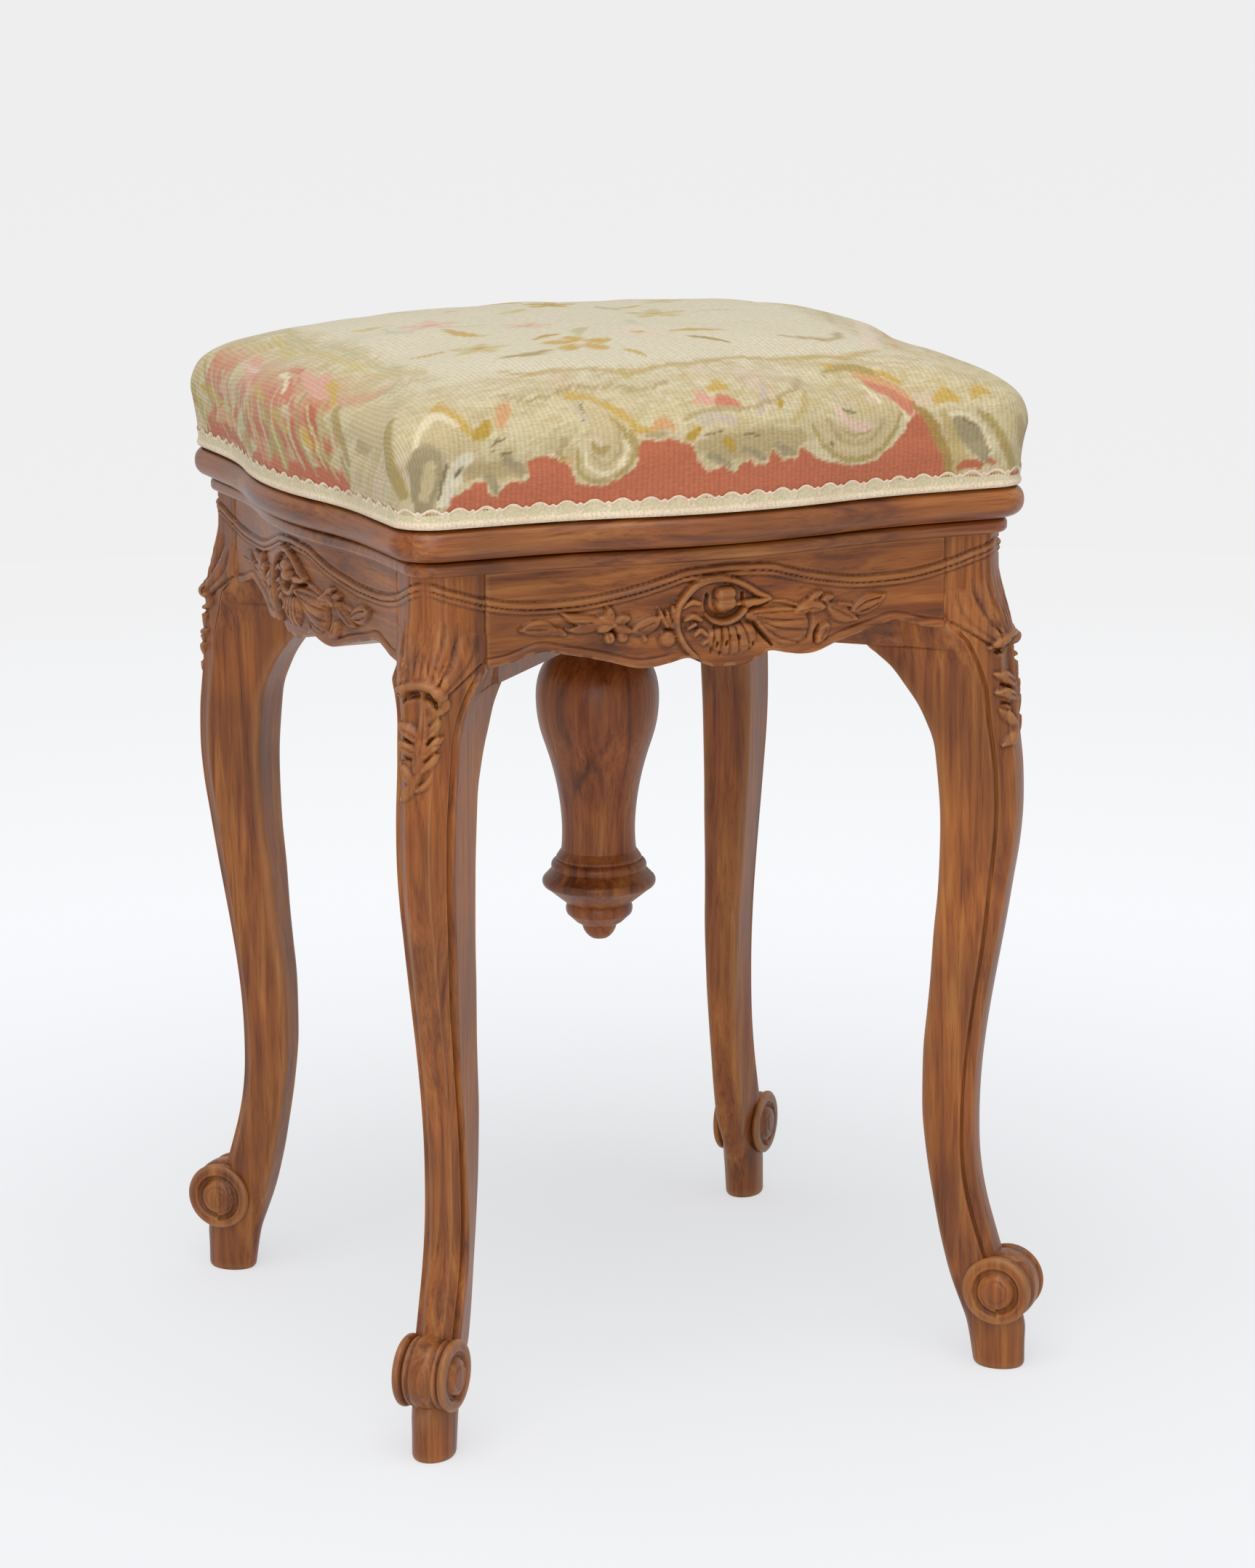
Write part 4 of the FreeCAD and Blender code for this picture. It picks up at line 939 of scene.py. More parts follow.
# Flowers, leaves and the shell in the middle: height of each stroke, then its points
APRON_STROKES = (
    # Left spray: end leaf, bud and stem
    (2.4, ((-107, 413, 0.6), (-101, 413.4, 3.4), (-95, 413, 4.2), (-89, 411.6, 2.0))),
    (-0.8, ((-104, 413, 0.5), (-93, 412.4, 0.6))),
    (2.2, ((-90.5, 410.2, 1.2), (-87, 411, 2.4), (-84, 409.5, 1.4))),
    (2.6, ((-85, 419.4, 0.6), (-81, 417.4, 2.3), (-75, 415.6, 3.2), (-66, 414.3, 2.4))),
    (2.4, ((-83, 411.6, 0.6), (-77.6, 411.2, 2.4), (-71, 412.4, 3.0), (-65, 413.4, 2.0))),
    (-0.8, ((-80, 414.4, 0.5), (-70, 414.2, 0.5))),
    # Flower
    (3.4, ((-60.4, 413.6, 1.4), (-61.6, 417.4, 3.0), (-62, 420.4, 1.8))),
    (3.4, ((-59.4, 413.6, 1.4), (-56, 415, 3.0), (-53, 415.7, 1.8))),
    (3.4, ((-59.4, 412.4, 1.4), (-55.6, 410.4, 2.8), (-52.5, 409.4, 1.8))),
    (3.4, ((-60.8, 412.4, 1.4), (-64.4, 411.4, 2.8), (-67, 410.8, 1.8))),
    (3.4, ((-60.8, 413.6, 1.4), (-64.2, 415.4, 2.8), (-66.4, 416.4, 1.6))),
    (4.2, ((-60, 413, 1.7), (-59.9, 413, 1.7))),
    (-1.6, ((-60, 409.6, 0.5), (-58.6, 406.6, 0.6))),
    (3.2, ((-62, 406.3, 3.2), (-61.9, 406.3, 3.2))),
    (-1.0, ((-62.2, 408.6, 0.5), (-61.8, 404.6, 0.5))),
    (2.8, ((-55.3, 406.7, 3.0), (-55.2, 406.7, 3.0))),
    # Large leaf, berry and flame leaves beside the shell
    (2.8, ((-51, 409.2, 1.0), (-45.6, 410.6, 4.2), (-40.6, 412.6, 4.0), (-37, 414.8, 0.8))),
    (2.2, ((-46, 408, 1.6), (-44, 404.6, 1.4))),
    (-0.9, ((-48, 409.6, 0.5), (-40, 412.8, 0.5))),
    (3.8, ((-33, 404.6, 4.6), (-32.9, 404.6, 4.6))),
    (-1.0, ((-36, 407, 0.5), (-34, 408.6, 0.6), (-31.4, 408.4, 0.5))),
    (2.6, ((-37.2, 419.6, 0.5), (-35.6, 415, 1.6), (-33, 410.6, 1.2))),
    (2.6, ((-33.4, 418.6, 0.5), (-32.6, 414.4, 1.5), (-30.8, 410, 1.2))),
    (2.6, ((-30.2, 420.8, 0.5), (-30.2, 416, 1.5), (-28.6, 411, 1.2))),
    # Frame of the shell
    (3.6, ((-17.8, 394.2, 0.9), (-22.6, 398.4, 1.6), (-26.6, 404.5, 2.0), (-28.6, 411.5, 2.2),
           (-27.4, 419.6, 2.1), (-22.6, 426, 2.2), (-17, 430.4, 2.2), (-9, 432.4, 2.1),
           (0, 431.4, 1.8), (8, 428, 1.8), (15, 423.6, 1.8), (21, 421.3, 1.0))),
    (2.4, ((-25, 419, 1.0), (-20.4, 421.6, 1.8), (-16, 420.6, 1.2))),
    (2.4, ((-24, 413, 1.0), (-19.6, 414.4, 1.8), (-15.6, 412.4, 1.2))),
    (2.4, ((-19, 405, 1.0), (-16, 407.4, 1.8), (-12.8, 405, 1.2))),
    (2.2, ((-22.4, 408.6, 1.0), (-18.6, 410.4, 1.3))),
    (2.0, ((-14.6, 400.4, 1.0), (-11.6, 402.6, 1.4))),
    # Boss and its rim
    (5.0, ((-5.4, 424.6, 3.4), (-0.6, 424.8, 3.4))),
    (4.8, ((-5.0, 419.6, 3.8), (-0.8, 420.2, 3.8))),
    (-2.4, ((-12, 424.6, 1.0), (-12.4, 419, 1.6), (-9.6, 414.8, 1.7), (-3.4, 413.4, 1.7),
            (2.6, 415, 1.7), (6.2, 419, 1.3), (6.6, 424, 0.8))),
    (3.6, ((-13.2, 414.8, 0.8), (-9.6, 411.6, 1.4), (-3.2, 410.2, 1.5), (3.4, 412.2, 1.5),
           (8.4, 416.8, 1.4), (13, 420.2, 0.8))),
    # Shell below the boss, cut into flutes, with drilled eyes
    (2.9, ((-8, 403, 5.0), (-1, 402, 7.6), (7, 402.4, 7.4))),
    (-1.3, ((-8.4, 409, 0.5), (-9.2, 403, 0.9), (-9.8, 396, 1.1))),
    (-1.3, ((-5.0, 408.6, 0.5), (-5.2, 402, 0.9), (-5.2, 395, 1.1))),
    (-1.3, ((-1.4, 408.2, 0.5), (-0.8, 402, 0.9), (-0.4, 395, 1.1))),
    (-1.3, ((2.2, 409, 0.5), (3.6, 403, 0.9), (4.8, 395.4, 1.1))),
    (-1.3, ((5.6, 410, 0.5), (8.4, 404, 0.9), (10.6, 396.4, 1.1))),
    (-2.8, ((-2.6, 401, 0.9), (-2.7, 399.6, 0.9))),
    (-2.8, ((3.9, 403.2, 0.9), (4.2, 402, 0.9))),
    (-2.6, ((12.0, 399.4, 0.9), (12.3, 398.2, 0.9))),
    (-2.4, ((-7.4, 400.8, 0.8), (-7.6, 399.4, 0.8))),
    # Wing to the right of the shell: a broad ribbed leaf
    (3.6, ((3, 419, 0.8), (9, 419.2, 1.9), (15, 419.4, 2.1), (22, 420.6, 0.8))),
    (-1.6, ((8, 416.7, 0.6), (15, 417, 0.9), (21, 418.4, 0.6))),
    (3.2, ((9, 413, 2.0), (16, 411.6, 4.4), (25, 407.6, 8.2), (33, 405.4, 9.4), (36, 405, 8.4))),
    (-2.0, ((12, 410, 0.7), (15.6, 404.8, 1.0), (23.4, 396.6, 0.8))),
    (-1.0, ((12, 413.6, 0.5), (24, 413.2, 0.8), (40, 412.4, 1.0))),
    (-1.0, ((13, 412.2, 0.5), (25, 409.4, 0.8), (42, 408, 1.0))),
    (-1.0, ((14, 410.8, 0.5), (26, 405.4, 0.8), (43, 402.8, 1.0))),
    (-1.0, ((16, 408.6, 0.5), (26, 401, 0.8), (38, 397, 1.0))),
    (-1.5, ((44, 411, 1.6), (45.4, 405, 1.8), (43.6, 399, 1.6))),
    # Right spray
    (3.0, ((49.6, 396.4, 1.6), (52, 399.4, 3.6), (54.6, 403, 2.4))),
    (-1.2, ((47.8, 396, 0.5), (47.8, 400, 0.7), (50.6, 404.6, 0.5))),
    (-0.8, ((51, 397.6, 0.5), (54, 402, 0.5))),
    (3.3, ((37, 412.6, 1.8), (42, 414, 3.6), (47, 414.4, 4.0), (52, 413.4, 2.4))),
    (-0.9, ((40, 412.6, 0.5), (46, 413.2, 0.6), (50, 412, 0.5))),
    (2.8, ((44, 417, 1.2), (47.6, 419, 2.4), (51.4, 420.6, 1.0))),
    (2.8, ((51, 415.6, 1.4), (54.8, 417, 2.5), (58, 417.8, 1.0))),
    (-1.2, ((47, 416.8, 0.5), (51, 416.2, 0.6), (54.4, 413.6, 0.5))),
    (2.0, ((22, 419.4, 0.6), (30, 418, 0.9), (38, 415.4, 0.9))),
    (2.8, ((54, 414.6, 1.4), (60, 410.6, 4.2), (66, 407.2, 4.0), (73, 404.6, 0.8))),
    (-0.9, ((57, 412.4, 0.5), (70, 405.6, 0.6))),
    (-0.7, ((59, 414, 0.5), (64, 411, 0.5))),
    (3.0, ((70, 409.4, 1.2), (75, 410.6, 4.6), (80.5, 412.4, 5.2), (86, 414, 2.8),
           (89, 415.6, 0.7))),
    (-1.0, ((71.6, 410, 0.5), (78, 413, 0.7), (86, 414.6, 0.5))),
    (-0.9, ((74, 408.4, 0.5), (80, 409.6, 0.6), (85, 411.6, 0.5))),
    (1.8, ((62, 413.6, 1.0), (68, 412.4, 1.4), (72, 411, 1.0))),
)


def make_apron_pattern():
    """The front apron: bowed, carved on its face, with a shaped and beaded lower edge."""
    columns = 354
    face_rows, over_rows, back_rows, under_rows = 72, 3, 7, 4
    rows = face_rows + over_rows + back_rows + under_rows
    piece, u, v = start_grid("apron_pattern", columns, rows)
    x = (u * 2 - 1) * (POST_INNER - 0.1)
    row = np.rint(v * rows)
    low = read_table(LOWER_EDGE, x)
    share = np.clip(row / face_rows, 0, 1)
    z = low + (APRON_TOP - low) * share
    depth = carve(x, z, APRON_STROKES)
    depth += ridge_profile(z - read_table(UPPER_BEAD, np.abs(x)))
    above = z - low
    # The lower edge is beaded except at the shell
    shell_middle = 11
    shell_half = 36
    plain = np.clip((np.abs(x - shell_middle) - shell_half) / 8, 0, 1)
    edge_bead = 0.8 * np.sqrt(hump(above - 2.0, 2.0))
    edge_cut = -0.6 * hump(above - 4.5, 0.8)
    depth += (edge_bead + edge_cut) * plain
    depth -= 0.9 * peak(POST_INNER - np.abs(x), 1.2)
    depth += 0.12 * noise(x, z, 6.0, 5)
    front = -(POST_FACE + bow_out(x, APRON_BOW))
    y = front - depth
    # The rest of the rows go over the top, down the back and under
    back = -(POST_FACE - APRON_THICKNESS)
    step = row - face_rows
    over = (step > 0) & (step <= over_rows)
    y = np.where(over, y + (back - y) * step / over_rows, y)
    z = np.where(over, APRON_TOP, z)
    step = step - over_rows
    down = step > 0
    y = np.where(down, back, y)
    z = np.where(down, APRON_TOP + (low - APRON_TOP) * np.clip(step / back_rows, 0, 1), z)
    step = step - back_rows
    under = step > 0
    y = np.where(under, back + (front - back) * step / under_rows, y)
    z = np.where(under, low, z)
    set_points(piece, x, y, z)
    close_up(piece)
    smooth(piece, 55)
    mark_hollows(piece)
    return piece


def build_aprons(look):
    """Four like aprons on the base, with the grain along each."""
    woods = [walnut("waxed_walnut_apron_wide", WIDE, (0.5, 0.3, 0.1), look.carved_wood),
             walnut("waxed_walnut_apron_deep", DEEP, (0.2, 0.6, 0.3), look.carved_wood)]
    set_round(make_apron_pattern(), SIDES, "carved_apron_", "apron_", woods)


# Cushion. Each row of the outline gives the height above the seat frame, the distance out
# from the axis, the bow of the sides and the radius of the corners, from the foot to the crown.

SEAT_TOP = 466.2
COVER_HALF = 166.8
SEAT_BOW = 11.5
PAD_BOTTOM = node_top("hessian") + 0.3
CUSHION_OUTLINE = ((0.4, 166.8, 11.5, 18.8), (10, 168.0, 11.4, 19.0), (21.6, 169.2, 11.2, 19.8),
                   (34.6, 169.8, 10.9, 21.8), (44.0, 168.0, 10.3, 24.8), (51.0, 161.6, 9.4, 28.5),
                   (57.4, 150.1, 8.8, 32.8), (64.6, 133.4, 7.8, 38), (71.0, 108.4, 6.3, 46),
                   (74.8, 75, 4.4, 43), (76.0, 41.7, 2.4, 25), (76.2, 16.7, 1.0, 9),
                   (76.3, 0.2, 0.0, 0.1))
# Columns along each side, the last of them round its corner
SIDE_COLUMNS = 244
CORNER_COLUMNS = 24
STRAIGHT_SHARE = (SIDE_COLUMNS - CORNER_COLUMNS) / SIDE_COLUMNS
TACKS_TO_A_SIDE = 15


def ring_places(t, half, bow, corner):
    """Plan of a square with bowed sides and round corners; t grows by one for each side."""
    side = np.floor(t) % 4
    share = t - np.floor(t)
    straight = half - corner
    x = np.clip(share / STRAIGHT_SHARE, 0, 1) * 2 - 1
    x = x * straight
    reach = np.minimum(BOW_REACH, np.maximum(straight - 25, 1))
    y = -half - bow * bow_out(x * BOW_REACH / reach, 1.0)
    turn = np.clip((share - STRAIGHT_SHARE) / (1 - STRAIGHT_SHARE), 0, 1) * math.pi / 2
    in_corner = share > STRAIGHT_SHARE
    x = np.where(in_corner, straight + corner * np.sin(turn), x)
    y = np.where(in_corner, -straight - corner * np.cos(turn), y)
    angle = side * math.pi / 2
    return x * np.cos(angle) - y * np.sin(angle), x * np.sin(angle) + y * np.cos(angle)


def cushion_profile():
    """Outline of the cushion as a fine line, with its length from the foot in the last column."""
    line = curve_line(CUSHION_OUTLINE, 12)
    strides = np.hypot(np.diff(line[:, 0]), np.diff(line[:, 1]))
    return np.column_stack([line, np.concatenate([[0], np.cumsum(strides)])])


def profile_at(length):
    """Height, distance out, bow and corner of the cushion at a length up its outline."""
    line = cushion_profile()
    return [np.interp(length, line[:, 4], line[:, i]) for i in range(4)]


def blown_up(whole):
    """Blow the cover up by cloth simulation; give how far a regular net of its points moved."""
    columns = 120
    rows = 44
    frames = 20
    piece, u, v = start_grid("cover_trial", columns, rows)
    height, half, bow, corner = profile_at(v * whole)
    x, y = ring_places(u * 4, half, bow, corner)
    set_points(piece, x, y, SEAT_TOP + height)
    net = get_points(piece)
    close_up(piece)
    start = get_points(piece)
    pinned = piece.vertex_groups.new(name="tacked")
    tacked = np.flatnonzero(start[:, 2] < (SEAT_TOP + 9.0) * MM)
    pinned.add(tacked.tolist(), 1.0, "REPLACE")
    cloth = piece.modifiers.new("cover", "CLOTH")
    settings = cloth.settings
    settings.vertex_group_mass = "tacked"
    settings.use_pressure = True
    settings.uniform_pressure_force = 4.0
    settings.effector_weights.gravity = 0.0
    settings.quality = 6
    settings.tension_stiffness = 40.0
    settings.compression_stiffness = 10.0
    settings.bending_stiffness = 0.3
    cloth.point_cache.frame_start = 1
    cloth.point_cache.frame_end = frames
    scene = bpy.context.scene
    for number in range(1, frames + 1):
        scene.frame_set(number)
    select_only(piece)
    bpy.ops.object.modifier_apply(modifier=cloth.name)
    moved = get_points(piece) - start
    scene.frame_set(1)
    far = np.linalg.norm(moved, axis=1)
    cap = 5.0 * MM
    moved *= (np.minimum(far, cap) / np.maximum(far, 1e-9))[:, None]
    nearest = KDTree(len(start))
    for number, point in enumerate(start):
        nearest.insert(point, number)
    nearest.balance()
    order = [nearest.find(point)[1] for point in net]
    remove(piece)
    column = np.rint(u * columns).astype(int)
    row = np.rint(v * rows).astype(int)
    away = np.maximum(np.hypot(net[:, 0], net[:, 1]), 1e-6)
    outward = (net[:, 0] / away, net[:, 1] / away)
    table = moved[order] / MM
    out = table[:, 0] * outward[0] + table[:, 1] * outward[1]
    # Each ring of the cover starts smaller by what it gains on average
    gain = [np.bincount(row, values) / np.bincount(row) for values in (out, table[:, 2])]
    table[:, 0] -= gain[0][row] * outward[0]
    table[:, 1] -= gain[0][row] * outward[1]
    table[:, 2] -= gain[1][row]
    result = np.zeros((columns + 1, rows + 1, 3))
    result[column, row] = table
    return result


def read_net(net, u, v):
    """Read a regular net of values between its points."""
    columns, rows = net.shape[0] - 1, net.shape[1] - 1
    px = np.clip(u, 0, 1) * columns
    py = np.clip(v, 0, 1) * rows
    ix = np.minimum(px.astype(int), columns - 1)
    iy = np.minimum(py.astype(int), rows - 1)
    fx = (px - ix)[:, None]
    fy = (py - iy)[:, None]
    low = net[ix, iy] * (1 - fx) + net[ix + 1, iy] * fx
    high = net[ix, iy + 1] * (1 - fx) + net[ix + 1, iy + 1] * fx
    return low * (1 - fy) + high * fy


def build_cushion():
    """The crowned tapestry cushion, blown up, tacked at its foot and painted with its weft."""
    whole = cushion_profile()[-1, 4]
    # Rows lie close together on the side, which ends this far up the outline
    side_end = 62.0
    side_step = 1.15
    crown_rows = 58
    lengths = np.concatenate([np.arange(0, side_end, side_step),
                              np.linspace(side_end, whole, crown_rows)])
    # Underside and the skirt round the nailing step come before the outside: height, distance out
    under = [(PAD_BOTTOM, half) for half in (0.2, 60, 120, 160, 165.5)]
    under += [(473.0, 165.6), (SEAT_TOP + 0.5, 165.7)]
    rows = len(under) + len(lengths) - 1
    piece, u, v = start_grid("tapestry_cushion", 4 * SIDE_COLUMNS, rows)
    row = np.rint(v * rows).astype(int)
    inner = row < len(under)
    length = lengths[np.clip(row - len(under), 0, len(lengths) - 1)]
    height, half, bow, corner = profile_at(length)
    under = np.array(under)[np.clip(row, 0, len(under) - 1)]
    half = np.where(inner, under[:, 1], half)
    z = np.where(inner, under[:, 0], SEAT_TOP + height)
    inner_corner = np.minimum(17.5, under[:, 1] * 0.5)
    bow = np.where(inner, SEAT_BOW * np.clip((under[:, 1] - 60) / 105, 0, 1), bow)
    corner = np.where(inner, inner_corner, corner)
    x, y = ring_places(u * 4, half, bow, corner)
    outside = ~inner
    moved = read_net(blown_up(whole), u, length / whole)
    # The braid holds the foot of the cover
    free = outside * np.clip((length - 12) / 16, 0, 1)
    x = x + moved[:, 0] * free
    y = y + moved[:, 1] * free
    z = z + moved[:, 2] * free
    # Slight unevenness of the stuffing, and the cloth drawn in between its tacks
    lumps = 1.1 * noise(x, y, 46.0, 11) + 0.35 * noise(x + z, y - z, 15.0, 12)
    lumps = lumps * np.clip(length / 30, 0, 1)
    draw = -0.45 * np.abs(np.sin(math.pi * u * 4 * TACKS_TO_A_SIDE)) * peak(length - 13, 8)
    away = np.maximum(np.hypot(x, y), 1.0)
    on_side = np.clip((78 - length) / 30, 0, 1)
    push = (lumps + draw) * outside
    x = x + x / away * push * on_side
    y = y + y / away * push * on_side
    # The stuffing is fuller on the right than in the corner behind it
    fuller = 5.4 * np.exp(-((x - 118) / 55) ** 2 - ((y + 3) / 58) ** 2)
    z = z + (push + fuller * outside) * (1 - on_side)
    set_points(piece, x, y, z)
    lay_cloth(piece, x, y, length, half)
    paint_cover(piece, x, y, z)
    close_up(piece)
    smooth(piece, 80)
    piece.data.materials.append(tapestry_weave())
    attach(piece, "seat")
    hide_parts("tapestry_cover", "stuffing_pad")


def lay_cloth(piece, x, y, length, half):
    """UV map of the cloth as woven, in metres: the sides are folded down from the top."""
    line = cushion_profile()
    to_crown = line[-1, 4] - length
    drop = np.maximum(to_crown - half, 0)
    across = np.clip((np.abs(x) - np.abs(y)) / 30 + 0.5, 0, 1)
    u = (x + np.sign(x) * drop * across) * MM
    v = (y + np.sign(y) * drop * (1 - across)) * MM
    corners = np.zeros(len(piece.data.loops), np.int32)
    piece.data.loops.foreach_get("vertex_index", corners)
    for layer in list(piece.data.uv_layers):
        piece.data.uv_layers.remove(layer)
    cloth = piece.data.uv_layers.new(name="cloth")
    cloth.data.foreach_set("uv", np.column_stack([u, v])[corners].astype(np.float32).ravel())


# Drawing of the tapestry

# Strokes of the sides end at the first of these heights, and those of the top at the second
SIDE_TOP = 531
TOP_EDGE = 516
# The pale edge of the coral ground ends at this height. The flames on the deep sides reach this
# far to both sides of their middle.
CORAL_FOOT = 477
FLAME_MIDDLE = 22
FLAME_REACH = 112
DYES = {
    "cream": "#D8CAA3", "pale": "#E3D5B0", "bone": "#DDD3B8", "stone": "#CAB68B", "shade": "#B8A377",
    "olive": "#B09A60", "moss": "#A39470", "dark": "#85744F", "gold": "#C9A758", "ochre": "#B8973C",
    "coral": "#BE6C4B", "salmon": "#CC8164", "rose": "#D9A58E", "orange": "#D3A070",
    "lilac": "#C6B69F", "wedge": "#AA8A4C", "leaf": "#C1AA74", "soft_gold": "#CDBB86",
    "soft_olive": "#C6B98F", "sage": "#CDC8AB", "blush": "#DDBDA8", "peach": "#E2CFB6",
}

# Ragged upper edge of the coral ground: (distance along the side, height)
CORAL_EDGE = ((-149, 474), (-145, 481), (-138, 485), (-131.6, 488.7), (-127.3, 487.8),
              (-126, 482.7), (-122, 480), (-118.7, 484.4), (-115, 487.8), (-106, 487),
              (-105.6, 497), (-98, 499), (-93, 498), (-83.4, 492), (-82.6, 485.3), (-77.4, 483.2),
              (-68.8, 483), (-60.2, 486), (-53.3, 492), (-50.7, 500), (-49.5, 503.6), (-36, 504),
              (-25.8, 501.6), (-22.4, 494.7), (-16.3, 487), (-8.6, 489.6), (-2.6, 486), (1, 489.6),
              (6, 492), (7.7, 488.7), (14.6, 488.7), (17.2, 495.6), (24, 489.6), (31, 490.4),
              (33.5, 495.6), (37, 494.7), (41.3, 490.4), (51.6, 486), (65.4, 483.9), (77.4, 485.3),
              (86, 491.3), (92, 496.6), (97, 504), (101, 508), (106.6, 503.3), (110, 495.6),
              (117, 484.4), (118, 474))

